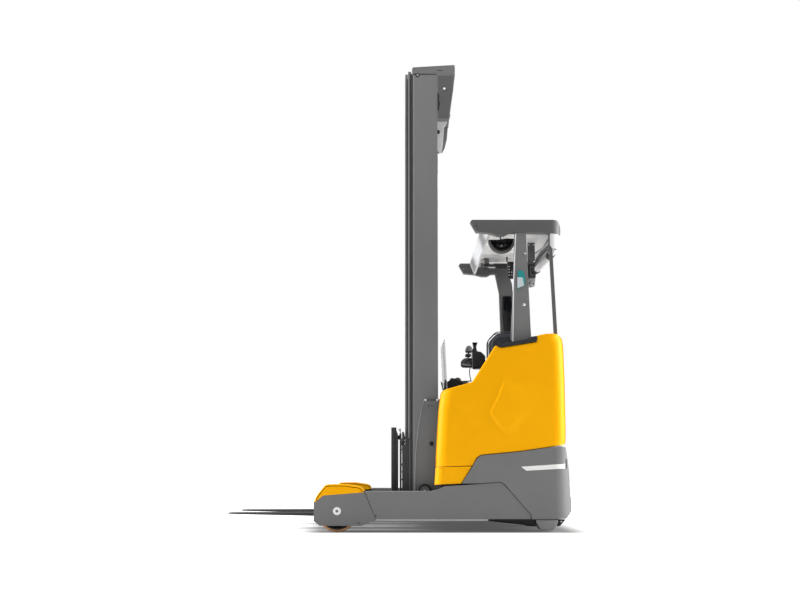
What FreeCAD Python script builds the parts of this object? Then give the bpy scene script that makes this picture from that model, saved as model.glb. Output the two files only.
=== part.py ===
"""Electric reach truck, built as named pieces in one parametric document.

Units are millimetres.  +Z is up, +X points to the rear of the truck and the
forks point to -X.  The origin lies on the floor, under the middle of the
overall box.  -Y is the closed side of the cab and +Y is the entry side.
"""

import FreeCAD, Part
import os
import re

import Sketcher

doc = FreeCAD.newDocument("ReachTruck")
sheet = doc.addObject("Spreadsheet::Sheet", "D")

# ---------------------------------------------------------------- dimensions

DIMENSIONS = {
    # overall
    "overall_width": 1270.0,
    "load_axle_x": -395.5,
    "body_front": 263.5,
    "bay_offset": 80.0,
    "cab_length": 553.0,
    "rear_overhang": 165.0,
    "rear_room": 80.0,
    "overcut": 5.0,
    # wheels
    "load_wheel_radius": 143.0,
    "ledge_gap": 11.0,
    "load_hub_radius": 104.0,
    "load_axle_radius": 25.0,
    "running_clearance": 0.05,
    "drive_wheel_radius": 171.5,
    "drive_wheel_width": 114.0,
    "drive_hub_radius": 118.0,
    "drive_axle_radius": 40.0,
    "wheel_gap": 8.0,
    # arms
    "arm_width": 185.0,
    "arm_ledge_width": 46.0,
    "arm_bottom": 82.0,
    "arm_top": 273.0,
    "ledge_top": 225.0,
    "arm_plate": 17.0,
    "paint_step": 3.0,
    "tread_gap": 8.0,
    # chassis
    "floor_bottom": 84.0,
    "floor_plate": 12.0,
    "tray_height": 222.0,
    "chassis_wall": 16.0,
    "chassis_inset": 28.0,
    "bulkhead_plate": 12.0,
    "cheek_plate": 5.0,
    "cover_wall": 14.0,
    "rear_corner": 130.0,
    "cover_bulge": 25.0,
    "bumper_plate": 12.0,
    # battery
    "battery_depth": 283.0,
    "battery_height": 784.0,
    "battery_gap": 6.0,
    "panel_thickness": 56.0,
    # cab
    "cab_floor": 400.0,
    "cab_floor_plate": 16.0,
    "entry_gap": 28.5,
    "entry_length": 275.0,
    "seat_gap": 15.0,
    "seat_depth": 490.0,
    "seat_height": 420.0,
    "cushion_thickness": 90.0,
    "back_thickness": 80.0,
    "rim_radius": 115.0,
    "rim_thickness": 23.0,
    "screen_sheet": 6.0,
    # guard
    "guard_inset": 70.0,
    "guard_height": 2190.0,
    "guard_beam_thickness": 40.0,
    "roof_thickness": 12.0,
    "eye_radius": 6.5,
    "guard_corner": 80.0,
    "mirror_radius": 96.0,
    # mast
    "mast_bottom": 95.0,
    "mast_height": 3290.0,
    "yoke_height": 72.0,
    "yoke_plate": 12.0,
    "foot_plate": 20.0,
    "rail_width": 56.0,
    "rail_wall": 16.0,
    "rail_lip": 5.0,
    "outer_depth": 184.0,
    "inner_depth": 142.0,
    "stage_gap": 6.0,
    "stage_tie": 22.0,
    "stage_rise": 5.0,
    "middle_forward": 29.0,
    "inner_forward": 50.0,
    "barrel_radius": 28.0,
    "barrel_bore": 24.0,
    "lift_rod_radius": 17.0,
    "free_barrel_radius": 38.0,
    "free_barrel_bore": 32.0,
    "free_rod_radius": 24.0,
    # reach carriage
    "carriage_clearance": 7.0,
    "carriage_plate": 17.0,
    "tie_plate": 16.0,
    "carriage_top": 920.0,
    "roller_radius": 49.0,
    "roller_width": 32.0,
    "roller_axle_radius": 16.0,
    # fork carriage
    "lift_plate": 16.0,
    "lift_margin": 80.0,
    "shift_gap": 5.0,
    "shift_plate": 12.0,
    "tilt_gap": 15.0,
    "tilt_plate": 10.0,
    "tilt_pin_radius": 4.0,
    "lug_play": 1.5,
    "tilt_pin_drop": 60.0,
    "lift_plate_bottom": 90.0,
    "roller_play": 7.0,
    "fork_spacing": 450.0,
    "fork_width": 120.0,
    "fork_thickness": 40.0,
    "shank_thickness": 37.0,
    "fork_length": 1180.0,
    "fork_top": 118.0,
    "shank_top": 730.0,
}

for row, (alias, value) in enumerate(DIMENSIONS.items(), start=1):
    sheet.set(f"A{row}", alias)
    sheet.set(f"B{row}", str(value))
    sheet.setAlias(f"B{row}", alias)
doc.recompute()

# Places that outlines are measured from, as sums of sheet names and other places.
PLACES = {
    "zero": "0",
    # along X, from the forks to the rear
    "axle": "load_axle_x",
    "front": "body_front",
    "bay": "front+bay_offset",
    "bayend": "bay+battery_depth",
    "bulk": "bayend+battery_gap",
    "cabfront": "bulk+bulkhead_plate",
    "rear": "bayend+cab_length",
    "coverrear": "rear+cover_bulge",
    "backwall": "rear-rear_room",
    "drive": "rear-rear_overhang",
    "entry": "bayend+entry_gap",
    "entryend": "entry+entry_length",
    "seat": "entryend-120",
    "tray": "bay-battery_gap-chassis_wall",
    "tieend": "tray-carriage_clearance",
    "mastrear": "tieend-tie_plate",
    "mast": "mastrear-outer_depth",
    "middlefront": "mast-middle_forward",
    "innerfront": "mast-inner_forward",
    "innerrear": "innerfront+inner_depth",
    "middletie": "innerrear+stage_gap",
    "middlerear": "middletie+stage_tie",
    "barrel": "middlerear+stage_gap+barrel_radius",
    "freebarrel": "innerfront+101",
    "rollerline": "innerfront+inner_depth/2",
    "liftrear": "innerfront-stage_gap",
    "liftface": "liftrear-lift_plate",
    "shiftrear": "liftface-shift_gap",
    "shiftface": "shiftrear-shift_plate",
    "tiltrear": "shiftface-tilt_gap",
    "tiltpin": "tiltrear+7",
    "tiltface": "tiltrear-tilt_plate",
    "fork": "tiltface-shank_thickness",
    # half widths
    "side": "overall_width/2",
    "inside": "side-panel_thickness",
    "frame": "side-chassis_inset",
    "arm": "side-arm_width",
    "ledge": "arm+arm_ledge_width",
    "load_wheel_width": "frame-ledge-ledge_gap",
    "plateside": "arm-tread_gap",
    "rail": "plateside-carriage_plate",
    "middle": "rail-rail_width",
    "second": "middle-stage_gap",
    "secondin": "second-rail_width",
    "third": "secondin-stage_gap",
    "thirdin": "third-rail_width",
    "channel": "third-rail_wall",
    "barrelside": "middle-stage_gap-barrel_radius",
    "liftside": "rail-lift_margin",
    "guard": "side-guard_inset",
    "beam": "guard-guard_beam_thickness",
    "seatback": "beam-seat_gap",
    # heights
    "under": "arm_bottom",
    "armtop": "arm_top",
    "ledgetop": "ledge_top",
    "floor": "floor_bottom",
    "deck": "floor+floor_plate",
    "batterytop": "deck+battery_height",
    "cab": "cab_floor",
    "cushion": "cab+seat_height",
    "seattop": "cushion+cushion_thickness",
    "top": "guard_height",
    "mastlow": "mast_bottom",
    "masttop": "mast_height",
    "freetop": "(mast_bottom+mast_height)/2-50",
    "middlelow": "mastlow+stage_rise",
    "innerlow": "middlelow+stage_rise",
    "platetop": "carriage_top",
    "lowplate": "lift_plate_bottom",
    "forktop": "fork_top",
    "shank": "shank_top",
    "tiltheight": "shank-tilt_pin_drop",
}


def formula(text):
    """Sheet formula for a sum of places, sheet names and numbers such as "rear-cover_wall"."""
    def spell(match):
        """Put a place's own sum, or a cell of the sheet, in the place of a name."""
        name = match.group()
        return f"({formula(PLACES[name])})" if name in PLACES else "D." + name
    return "(" + re.sub("[a-z_]+", spell, text) + ")"


# ------------------------------------------------------------------- helpers

NODES = []


def node(item, label):
    """Keep an object as a sub-part that is written out under its label."""
    item.Label = label
    NODES.append(item)
    return item


def corners_of(text):
    """Split "x,z x,z@radius ..." into corners: two formulas and a radius or None."""
    corners = []
    for word in text.split():
        place, _, radius = word.partition("@")
        across, up = place.split(",")
        corners.append((formula(across), formula(up), formula(radius) if radius else None))
    return corners


def add_outline(sketch, outline):
    """Draw one closed outline of straight runs, each corner tied to the sheet."""
    first = sketch.GeometryCount
    corners = [FreeCAD.Vector(float(sheet.evalExpression(across)), float(sheet.evalExpression(up)), 0)
               for across, up, radius in outline]
    count = len(corners)
    for index in range(count):
        sketch.addGeometry(Part.LineSegment(corners[index], corners[(index + 1) % count]), False)
    for index in range(count):
        sketch.addConstraint(
            Sketcher.Constraint("Coincident", first + index, 2, first + (index + 1) % count, 1))
    for index, (across, up, radius) in enumerate(outline):
        for kind, term in (("DistanceX", across), ("DistanceY", up)):
            number = corners[index].x if kind == "DistanceX" else corners[index].y
            constraint = sketch.addConstraint(Sketcher.Constraint(kind, -1, 1, first + index, 1, number))
            sketch.setExpression(f"Constraints[{constraint}]", term)


def new_sketch(body, name, plane, start):
    """Sketch on one of the body's own origin planes, moved to a start formula."""
    sketch = body.newObject("Sketcher::SketchObject", name)
    support = [item for item in body.Origin.OriginFeatures if item.Role == plane][0]
    sketch.AttachmentSupport = [(support, "")]
    sketch.MapMode = "FlatFace"
    offset = f"-({start})" if plane == "XZ_Plane" else start
    sketch.setExpression("AttachmentOffset.Base.z", offset)
    return sketch


def corner_edge(shape, plane, across, up):
    """Name of the padded edge that stands on one corner of the outline."""
    for number, edge in enumerate(shape.Edges, start=1):
        ends = [vertex.Point for vertex in edge.Vertexes]
        flat = [(end.x, end.z) if plane == "XZ_Plane" else (end.x, end.y) for end in ends]
        if len(flat) == 2 and all(abs(x - across) + abs(y - up) < 0.01 for x, y in flat):
            return f"Edge{number}"
    raise RuntimeError(f"no edge at {across}, {up}")


def prism(name, plane, outline, start, end):
    """PartDesign body: an outline padded from start to end, with its corners rounded."""
    body = doc.addObject("PartDesign::Body", name)
    first, last = formula(start), formula(end)
    sketch = new_sketch(body, name + "_outline", plane, first)
    corners = corners_of(outline)
    add_outline(sketch, corners)
    pad = body.newObject("PartDesign::Pad", name + "_pad")
    pad.Profile = sketch
    pad.setExpression("Length", f"({last}) - ({first})")
    pad.Reversed = plane == "XZ_Plane"
    body.Tip = pad
    rounded = {}
    for across, up, radius in corners:
        if radius:
            spot = [float(sheet.evalExpression(term)) for term in (across, up)]
            rounded.setdefault(radius, []).append(spot)
    for radius, spots in rounded.items():
        doc.recompute()
        base = body.Tip
        fillet = body.newObject("PartDesign::Fillet", f"{name}_round{len(body.Group)}")
        fillet.Base = (base, [corner_edge(base.Shape, plane, *spot) for spot in spots])
        fillet.setExpression("Radius", radius)
        body.Tip = fillet
    return body


def box(name, across, deep, high):
    """Part box from three "low high" pairs of places."""
    item = doc.addObject("Part::Box", name)
    for axis, key, pair in (("x", "Length", across), ("y", "Width", deep), ("z", "Height", high)):
        low, top = (formula(text) for text in pair.split())
        item.setExpression("Placement.Base." + axis, low)
        item.setExpression(key, f"({top}) - ({low})")
    return item


TURNS = {
    "x": FreeCAD.Rotation(FreeCAD.Vector(0, 1, 0), 90),
    "y": FreeCAD.Rotation(FreeCAD.Vector(1, 0, 0), -90),
    "z": FreeCAD.Rotation(),
}


def rod(name, axis, radius, length, start):
    """Cylinder along +axis from start, which is three places in a row."""
    item = doc.addObject("Part::Cylinder", name)
    item.Placement = FreeCAD.Placement(FreeCAD.Vector(), TURNS[axis])
    item.setExpression("Radius", formula(radius))
    item.setExpression("Height", formula(length))
    for letter, text in zip("xyz", start.split()):
        item.setExpression("Placement.Base." + letter, formula(text))
    return item


def fuse(name, parts):
    """One solid from touching or overlapping pieces."""
    item = doc.addObject("Part::MultiFuse", name)
    item.Shapes = parts
    item.Refine = True
    return item


def cut(name, base, tools):
    """Base with each tool taken out."""
    tool = tools[0]
    if len(tools) > 1:
        tool = doc.addObject("Part::MultiFuse", name + "_tools")
        tool.Shapes = tools
    item = doc.addObject("Part::Cut", name)
    item.Base = base
    item.Tool = tool
    item.Refine = True
    return item


def common(name, first, second):
    """Space that two solids share."""
    item = doc.addObject("Part::MultiCommon", name)
    item.Shapes = [first, second]
    item.Refine = True
    return item


def mirrored(name, source):
    """Copy on the far side, mirrored through the plane Y = 0."""
    item = doc.addObject("Part::Mirroring", name)
    item.Source = source
    item.Base = (0, 0, 0)
    item.Normal = (0, 1, 0)
    return item


def both_sides(build, label):
    """Build a near piece with Y below zero and its mirrored far copy."""
    near = node(build("near_" + label), "near_" + label)
    node(mirrored("far_" + label, near), "far_" + label)


def pair(build, label):
    """One node of two like pieces on the same body, near and far."""
    near = build("near_" + label)
    item = doc.addObject("Part::Compound", label + "_pair")
    item.Links = [near, mirrored("far_" + label, near)]
    node(item, label)


# ------------------------------------------------------------------- chassis

def chassis_frame():
    """Floor tray with side walls, open over the drive wheel, and the cab's bulkhead."""
    tray = box("tray_block", "tray backwall", "-frame frame", "floor floor+tray_height")
    room = box("tray_room", "tray+chassis_wall rear", "-frame+chassis_wall frame-chassis_wall",
               "deck floor+tray_height+overcut")
    bay = rod("drive_bay", "z", "drive_wheel_radius+22", "cab", "drive zero zero")
    wall = box("bulkhead_wall", "bulk cabfront", "-inside+2 inside-2", "floor batterytop+90")
    sills = [box(f"{name}_sill", "cabfront backwall", sides, "floor cab-cab_floor_plate")
             for name, sides in (("near", "-frame -frame+chassis_wall"), ("far", "frame-chassis_wall frame"))]
    cheeks = [box(f"{name}_cheek", "front+70 bulk", sides, "floor batterytop")
              for name, sides in (("near", "-inside -inside+cheek_plate"), ("far", "inside-cheek_plate inside"))]
    open_tray = cut("chassis_tray", tray, [room, bay])
    node(fuse("chassis_frame_solid", [open_tray, wall] + sills + cheeks), "chassis_frame")


def arm(name):
    """Load arm: outer plate, box beam behind the wheel, inner running ledge and wheel axle."""
    plate = prism(name + "_plate", "XZ_Plane",
                  "axle+263,under+8 axle+268,under rear-557,under rear-268,under+3 rear-267,under+35 "
                  "rear-454,armtop+56 rear-475,armtop+64 front+306,armtop+52 front+70,armtop+37 "
                  "front+23,armtop+17 front-32,armtop+4 front-274,armtop axle+188,armtop",
                  "-side+paint_step", "-side+paint_step+arm_plate")
    beam = box(name + "_beam", "axle+184 tray", "-side+paint_step+arm_plate -ledge", "under armtop")
    ledge = box(name + "_ledge", "axle-151 tray", "-ledge -arm", "under ledgetop")
    axle = rod(name + "_axle", "y", "load_axle_radius", "side-ledge", "axle -side load_wheel_radius")
    return fuse(name + "_solid", [plate, beam, ledge, axle])


def arm_cap(name):
    """Bolted end plate outside the load wheel, with the nose in front of it."""
    side = prism(name + "_side", "XZ_Plane",
                 "axle-158,under+123 axle-157,under-5 axle-117,under-37 axle+163,under-39 "
                 "axle+230,under-14 axle+257,under-14 axle+260,under+8 axle+184,armtop-1 "
                 "axle-91,armtop-22 axle-138,armtop-61",
                 "-side+paint_step", "-side+paint_step+arm_plate")
    nose = box(name + "_nose", "axle-158 axle-151", "-side+paint_step+arm_plate -arm-2", "under-5 under+118")
    hole = rod(name + "_hole", "y", "load_axle_radius", "paint_step+arm_plate+overcut",
               "axle -side load_wheel_radius")
    return cut(name + "_solid", fuse(name + "_block", [side, nose]), [hole])


def wheel_cover(name):
    """Yellow cover over the load wheel, arched inside."""
    shell = prism(name + "_shell", "XZ_Plane",
                  "axle-155,under+125 axle-142,armtop-29 axle-81,armtop+47@18 axle-68,armtop+50 "
                  "axle+54,armtop+51 axle+87,armtop+45 axle+162,armtop+35 axle+182,armtop+9 "
                  "axle+250,armtop+9 axle+250,armtop axle+184,armtop axle-91,armtop-21 "
                  "axle-138,armtop-59",
                  "-side+2", "-ledge-1")
    arch = rod(name + "_arch", "y", "load_wheel_radius+wheel_gap", "load_wheel_width+2*wheel_gap",
               "axle -frame-wheel_gap load_wheel_radius")
    return cut(name + "_solid", shell, [arch])


def wheel(name, bore, hub, radius, width, start):
    """Wheel along Y from its start: the hub and the tyre as two rings."""
    rings = []
    for piece, inner, outer in (("hub", bore, hub), ("tyre", hub, radius)):
        full = rod(f"{name}_{piece}_full", "y", outer, width, start)
        hole = rod(f"{name}_{piece}_hole", "y", inner, width, start)
        rings.append(cut(f"{name}_{piece}_solid", full, [hole]))
    return rings


def running_gear():
    """Arms with their caps and covers, and a load wheel on each side."""
    both_sides(arm, "load_arm")
    pair(arm_cap, "arm_caps")
    pair(wheel_cover, "wheel_covers")
    hub, tyre = wheel("near_load", "load_axle_radius+running_clearance", "load_hub_radius",
                      "load_wheel_radius", "load_wheel_width", "axle -frame load_wheel_radius")
    both_sides(lambda name: hub, "load_hub")
    both_sides(lambda name: tyre, "load_tyre")


def drive_unit():
    """Steered turret with the drive wheel, and the fixed motor above the cab floor."""
    ring = rod("turret_ring", "z", "150", "22", "drive zero cab-44")
    leg = box("turret_leg", "drive-70 drive+70", "drive_wheel_width/2+9 drive_wheel_width/2+73", "floor+16 cab-22")
    shaft = rod("turret_shaft", "y", "drive_axle_radius", "drive_wheel_width+9",
                "drive -drive_wheel_width/2 drive_wheel_radius")
    node(fuse("drive_turret_solid", [ring, leg, shaft]), "drive_turret")
    hub, tyre = wheel("drive", "drive_axle_radius+running_clearance", "drive_hub_radius",
                      "drive_wheel_radius", "drive_wheel_width",
                      "drive -drive_wheel_width/2 drive_wheel_radius")
    node(hub, "drive_hub")
    node(tyre, "drive_tyre")
    node(rod("drive_motor_can", "z", "70", "230", "drive zero cab"), "drive_motor")


def stabiliser(name):
    """Guard block near the ground and the sloping skid beside it."""
    guard_block = prism(name + "_block", "XZ_Plane",
                        "rear-234,floor rear-232,zero+56 rear-199,zero+10@5 rear-106,zero+10@5 "
                        "rear-88,zero+40 rear-81,zero+62 rear-81,floor",
                        "-side+75", "-side+195")
    skid = prism(name + "_skid", "XZ_Plane",
                 "rear-531,floor rear-531,zero+70 rear-278,zero+40 rear-204,zero+27 rear-204,floor",
                 "-side+190", "-side+400")
    return fuse(name + "_solid", [guard_block, skid])


def battery():
    """One plain block between the mast and the cab."""
    node(box("battery_block", "bay bayend", "-inside+cheek_plate+1 inside-cheek_plate-1", "deck batterytop"),
         "battery")


# --------------------------------------------------------------- body panels

def body_panels():
    """Yellow panels, lower yellow pieces, the rear wall and the battery hood."""
    upper = ("front+9,floor+357 front+10,floor+437 front+28,floor+743 front+46,floor+877@30 "
             "front+242,floor+932 front+259,floor+937 front+420,floor+1190@12 front+455,floor+1172 "
             "rear-215,floor+1213 rear-213,floor+1257 rear-150,floor+1270 rear-90,floor+1271@50 "
             "rear-36,floor+1255@40 rear-25,floor+1188 rear-18,floor+947 rear-15,floor+606 "
             "rear-18,floor+510@25 rear-60,floor+503 rear-338,floor+463 front+314,floor+438@20 "
             "front+284,floor+417 front+258,floor+366")
    node(prism("near_upper_slab", "XZ_Plane", upper, "-side", "-inside"), "near_side_panel")
    lower = "front+1,floor+236 front+9,floor+354 front+253,floor+360 front+178,floor+243"
    pair(lambda name: prism(name, "XZ_Plane", lower, "-side", "-inside"), "lower_panels")
    battery_side = ("front+9,floor+357 front+10,floor+437 front+28,floor+743 front+46,floor+877@30 "
                    "front+242,floor+932@20 front+293,floor+900@20 front+293,floor+425 "
                    "front+284,floor+417 front+258,floor+366")
    node(prism("far_front_slab", "XZ_Plane", battery_side, "inside", "side"), "far_front_panel")
    corner = ("entryend,floor+479 entryend,floor+1206@20 rear-215,floor+1213 rear-213,floor+1257 "
              "rear-150,floor+1270 rear-90,floor+1271@50 rear-36,floor+1255@40 rear-25,floor+1188 "
              "rear-18,floor+947 rear-15,floor+606 rear-18,floor+510@25 rear-60,floor+503")
    node(prism("far_rear_slab", "XZ_Plane", corner, "inside", "side"), "far_rear_panel")
    wall = ("rear-90,floor+500 rear-90,floor+1262 rear-57,floor+1262@15 rear-25,floor+1188 rear-18,floor+947 "
            "rear-15,floor+606 rear-18,floor+510@25 rear-60,floor+503")
    node(prism("rear_wall_slab", "XZ_Plane", wall, "-inside", "inside"), "rear_wall")
    hood = ("front+62,batterytop+8 front+62,floor+878 front+242,floor+928 bulk,floor+928 "
            "bulk,batterytop+8")
    node(prism("hood_slab", "XZ_Plane", hood, "-inside", "inside"), "battery_hood")


def rear_cover():
    """Grey cover around the rear, its side outline common with a rounded plan."""
    side = prism("cover_side", "XZ_Plane",
                 "front+184,floor+245 front+259,floor+362 front+288,floor+413@10 front+316,floor+434@20 "
                 "rear-338,floor+459 rear-60,floor+499@12 rear-20,floor+490 rear-8,floor+417 rear+5,floor+336 "
                 "rear+13,floor+234 coverrear,floor+134 coverrear,floor+52 rear-22,floor+6 rear-262,floor+4 "
                 "rear-264,floor+33 rear-451,floor+248@20 rear-473,floor+256 rear-610,floor+245",
                 "-side", "side")
    plan = prism("cover_plan", "XY_Plane",
                 "front,-side coverrear,-side@rear_corner coverrear,side@rear_corner front,side",
                 "zero", "cab+400")
    room = prism("cover_room", "XY_Plane",
                 "front-overcut,-side+cover_wall coverrear-cover_wall,-side+cover_wall@rear_corner-cover_wall "
                 "coverrear-cover_wall,side-cover_wall@rear_corner-cover_wall front-overcut,side-cover_wall",
                 "zero-overcut", "cab+400+overcut")
    behind = prism("cover_behind", "XZ_Plane",
                   "front-overcut,zero-overcut rear+15,zero-overcut rear+15,floor+134 rear+3,floor+234 "
                   "rear-5,floor+336 rear-18,floor+417 rear-30,floor+490 rear-46,cab+400+overcut "
                   "front-overcut,cab+400+overcut",
                   "-side", "side")
    room = common("cover_space", room, behind)
    window = box("cover_window", "rear-60 rear+60", "-side+420 side-420", "zero cab-30")
    entry = box("cover_entry", "entry entryend", "inside-100 side+overcut", "cab cab+400")
    shell = common("cover_block", side, plan)
    node(cut("rear_cover_solid", shell, [room, window, entry]), "rear_cover")
    node(prism("bumper_slab", "XZ_Plane",
               "rear+13,floor+234 coverrear,floor+134 coverrear,floor+52 coverrear+bumper_plate,floor+44 "
               "coverrear+bumper_plate,floor+130 rear+22,floor+245",
               "-side+141", "side-141"), "rear_bumper")


# ----------------------------------------------------------------------- cab

def seat():
    """Fixed base with a cushion, and an upright back against the closed side."""
    node(box("seat_base_box", "seat-155 seat+85", "-seatback+25 zero-120", "cab cushion"), "seat_base")
    node(box("seat_cushion_box", "seat-160 seat+90", "-seatback+back_thickness -seatback+back_thickness+seat_depth",
             "cushion seattop"), "seat_cushion")
    back = prism("seat_back_slab", "XZ_Plane",
                 "seat-155,cushion seat-155,cab+630@30 seat-172,cab+760@60 seat-172,cab+930@50 "
                 "seat-110,cab+990@50 seat+60,cab+995 seat+95,cab+975@30 seat+100,cushion",
                 "-seatback", "-seatback+back_thickness")
    node(back, "seat_back")


def dashboard():
    """Dashboard behind the screen with the steering column, the hand wheel and the console."""
    dash = prism("dash_block", "XZ_Plane",
                 "front+100,floor+889 front+100,floor+935@15 front+240,floor+950@15 front+240,floor+928",
                 "-side+300", "side-160")
    column = rod("steer_column_rod", "z", "22", "70", "front+205 side-420 floor+933")
    node(fuse("dashboard_solid", [dash, column]), "dashboard")
    rim = rod("rim_full", "z", "rim_radius", "rim_thickness+1", "front+205 side-420 floor+1008")
    gap = rod("rim_gap", "z", "rim_radius-rim_thickness", "40", "front+205 side-420 floor+998")
    spoke = box("rim_spoke", "front+105 front+305", "side-440 side-400", "floor+1012 floor+1026")
    node(fuse("steer_wheel_solid", [cut("rim_ring", rim, [gap]), spoke]), "steering_wheel")
    console = prism("console_slab", "XZ_Plane",
                    "front+185,floor+1080 front+260,floor+1060@20 front+330,floor+1100 front+380,floor+1170@30 "
                    "front+350,floor+1250@20 front+270,floor+1260@20 front+240,floor+1150@20 front+188,floor+1110",
                    "-side+240", "-side+330")
    post = box("console_post_box", "front+337 front+365", "-side+265 -side+305", "floor+928 floor+1150")
    node(fuse("arm_console_solid", [console, post]), "arm_console")


def cab():
    """Floor with its pedal plate, seat, dashboard and the clear screen."""
    floor = box("cab_floor_slab", "cabfront backwall", "-frame frame", "cab-cab_floor_plate cab")
    pedals = box("pedal_plate", "entry+40 entry+160", "side-200 side-120", "cab-1 cab+30")
    node(fuse("cab_floor_solid", [floor, pedals]), "cab_floor")
    seat()
    dashboard()
    node(prism("screen_sheet_slab", "XZ_Plane",
               "front+84,floor+886 front+84+screen_sheet,floor+886 front+76+screen_sheet,floor+1254 "
               "front+76,floor+1254",
               "-side+120", "zero"), "cab_screen")


# --------------------------------------------------------------------- guard

def guard_hoop():
    """Side beams joined by a band with rounded corners behind, and a sloping plate in front."""
    side = prism("guard_side", "XZ_Plane",
                 "front+256,top-38 front+268,top-23@10 rear-44,top-23@30 rear-16,top-75@20 rear-24,top-122 "
                 "rear-262,top-113 front+526,top-114 front+494,top-133@15 front+448,top-133@15 "
                 "front+389,top-117 front+296,top-108",
                 "-guard", "guard")
    plan = prism("guard_plan", "XY_Plane",
                 "front,-guard rear-16,-guard@guard_corner rear-16,guard@guard_corner front,guard",
                 "top-200", "top")
    room = prism("guard_room", "XY_Plane",
                 "front-overcut,-beam rear-16-guard_beam_thickness,-beam@guard_corner-guard_beam_thickness "
                 "rear-16-guard_beam_thickness,beam@guard_corner-guard_beam_thickness front-overcut,beam",
                 "top-200-overcut", "top+overcut")
    eyes = rod("beam_eyes", "y", "eye_radius", "2*guard", "front+298 -guard top-65")
    return cut("guard_hoop", common("guard_band", side, plan), [room, eyes])


def rear_rod(name):
    """Thin slanting rod between the rear panel and the hoop."""
    return prism(name, "XZ_Plane", "rear-113,top-110 rear-91,top-110 rear-57,floor+1262 rear-80,floor+1262",
                 "-guard+10", "-guard+34")


def pillars(hoop):
    """Front pillar on each side and the two thin rear rods, all cut to the hoop above."""
    near = prism("near_pillar_slab", "XZ_Plane",
                 "rear-347,top-80 rear-272,top-80 rear-256,floor+1626 rear-243,floor+1288 "
                 "rear-240,floor+1252@12 rear-366,floor+1224@12 rear-380,floor+1250 rear-359,floor+1626",
                 "-guard+4", "-beam")
    near_foot = box("near_pillar_foot", "rear-356 rear-246", "-inside -beam", "floor+1000 floor+1160")
    near_web = box("near_pillar_web", "rear-356 rear-246", "-guard+4 -beam", "floor+1100 floor+1245")
    node(cut("near_pillar_solid", fuse("near_pillar_block", [near, near_foot, near_web]), [hoop]),
         "near_pillar")
    far = prism("far_pillar_slab", "XZ_Plane",
                "rear-361,top-80 rear-250,top-80 rear-212,floor+1907 rear-196,floor+1650 "
                "rear-196,floor+1222@12 rear-293,floor+1206@12 rear-311,floor+1507 rear-321,floor+1830",
                "beam", "guard-4")
    far_foot = box("far_pillar_foot", "entryend+6 entryend+60", "beam inside", "floor+1000 floor+1190")
    far_web = box("far_pillar_web", "entryend+6 entryend+53", "beam guard-4", "floor+1100 floor+1240")
    node(cut("far_pillar_solid", fuse("far_pillar_block", [far, far_foot, far_web]), [hoop]), "far_pillar")
    pair(lambda name: cut(name + "_solid", rear_rod(name), [hoop]), "rear_rods")


def guard():
    """Overhead guard: hoop, pillars, rods, roof sheet, terminal and dome mirror."""
    hoop = guard_hoop()
    pillars(hoop)
    roof = prism("roof_slab", "XZ_Plane",
                 "front+350,top-32 front+400,top-12 front+520,top rear-205,top rear-105,top-18 "
                 "rear-57,top-52 rear-65,top-60 rear-115,top-30 rear-205,top-roof_thickness "
                 "front+520,top-roof_thickness front+404,top-24 front+354,top-43",
                 "-beam", "beam")
    node(cut("roof_sheet_solid", roof, [hoop]), "roof_sheet")
    plate = prism("front_cross_plate", "XZ_Plane",
                  "front+352,top-30 front+362,top-30 front+396,top-112 front+386,top-112", "-beam", "beam")
    node(fuse("guard_frame_solid", [hoop, cut("front_cross_solid", plate, [roof])]), "guard_frame")
    screen = box("terminal_box", "rear-335 rear-117", "zero-80 zero-40", "top-310 top-178")
    bracket = box("terminal_bracket", "rear-175 rear-117", "zero-40 zero-28", "top-250 top-18.5")
    node(cut("terminal_solid", fuse("terminal_block", [screen, bracket]), [roof]), "terminal")
    bowl = doc.addObject("Part::Sphere", "mirror_bowl")
    bowl.Placement = FreeCAD.Placement(FreeCAD.Vector(), FreeCAD.Rotation(FreeCAD.Vector(0, 0, 1), 180))
    bowl.Angle1, bowl.Angle2, bowl.Angle3 = -90, 0, 180
    bowl.setExpression("Radius", formula("mirror_radius"))
    for letter, text in zip("xyz", "front+494 -beam+200 top-122".split()):
        bowl.setExpression("Placement.Base." + letter, formula(text))
    stalk = rod("mirror_stalk", "z", "5", "115", "front+488 -beam+194 top-127")
    node(cut("dome_mirror_solid", fuse("dome_mirror_block", [bowl, stalk]), [roof]), "dome_mirror")


# ---------------------------------------------------------------------- mast

def rail_pair(name, front, rear, outer, inner, low, high):
    """Two upright C rails that open towards each other, near and far."""
    block = box(name + "_block", f"{front} {rear}", f"-{outer} -{inner}", f"{low} {high}")
    groove = box(name + "_groove", f"{front}+rail_wall {rear}-rail_wall", f"-{outer}+rail_wall -{inner}+overcut",
                 f"{low}-overcut {high}+overcut")
    near = cut(name + "_near", block, [groove])
    return [near, mirrored(name + "_far", near)]


def reach_carriage():
    """Carriage plates beside the mast foot, tied together, with a roller on each ledge."""
    side = prism("carriage_side", "XZ_Plane",
                 "tieend,platetop mast+87,platetop@8 mast+62,floor+759 mast+41,floor+618 "
                 "mast+26,floor+477 mast+19,floor+337 mast+19,mastlow tieend,mastlow",
                 "-plateside", "-rail")
    hole = rod("carriage_hole", "y", "15", "carriage_plate", "mast+135 -plateside floor+523")
    near = cut("carriage_near_side", side, [hole])
    tie = box("carriage_tie", "mastrear tieend", "-plateside plateside", "mastlow mastlow+170")
    upper_tie = box("carriage_upper_tie", "mastrear tieend", "-plateside plateside", "platetop-190 platetop")
    node(fuse("reach_carriage_solid", [near, mirrored("carriage_far_side", near), tie, upper_tie]),
         "reach_carriage")
    height = "ledgetop+roller_radius+1"
    pair(lambda name: fuse(name + "_solid", [
        rod(name + "_tread", "y", "roller_radius", "roller_width", f"mast+86 -arm-7-roller_width {height}"),
        rod(name + "_axle", "y", "roller_axle_radius", "7+tread_gap", f"mast+86 -arm-7 {height}")]),
        "guide_rollers")


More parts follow.
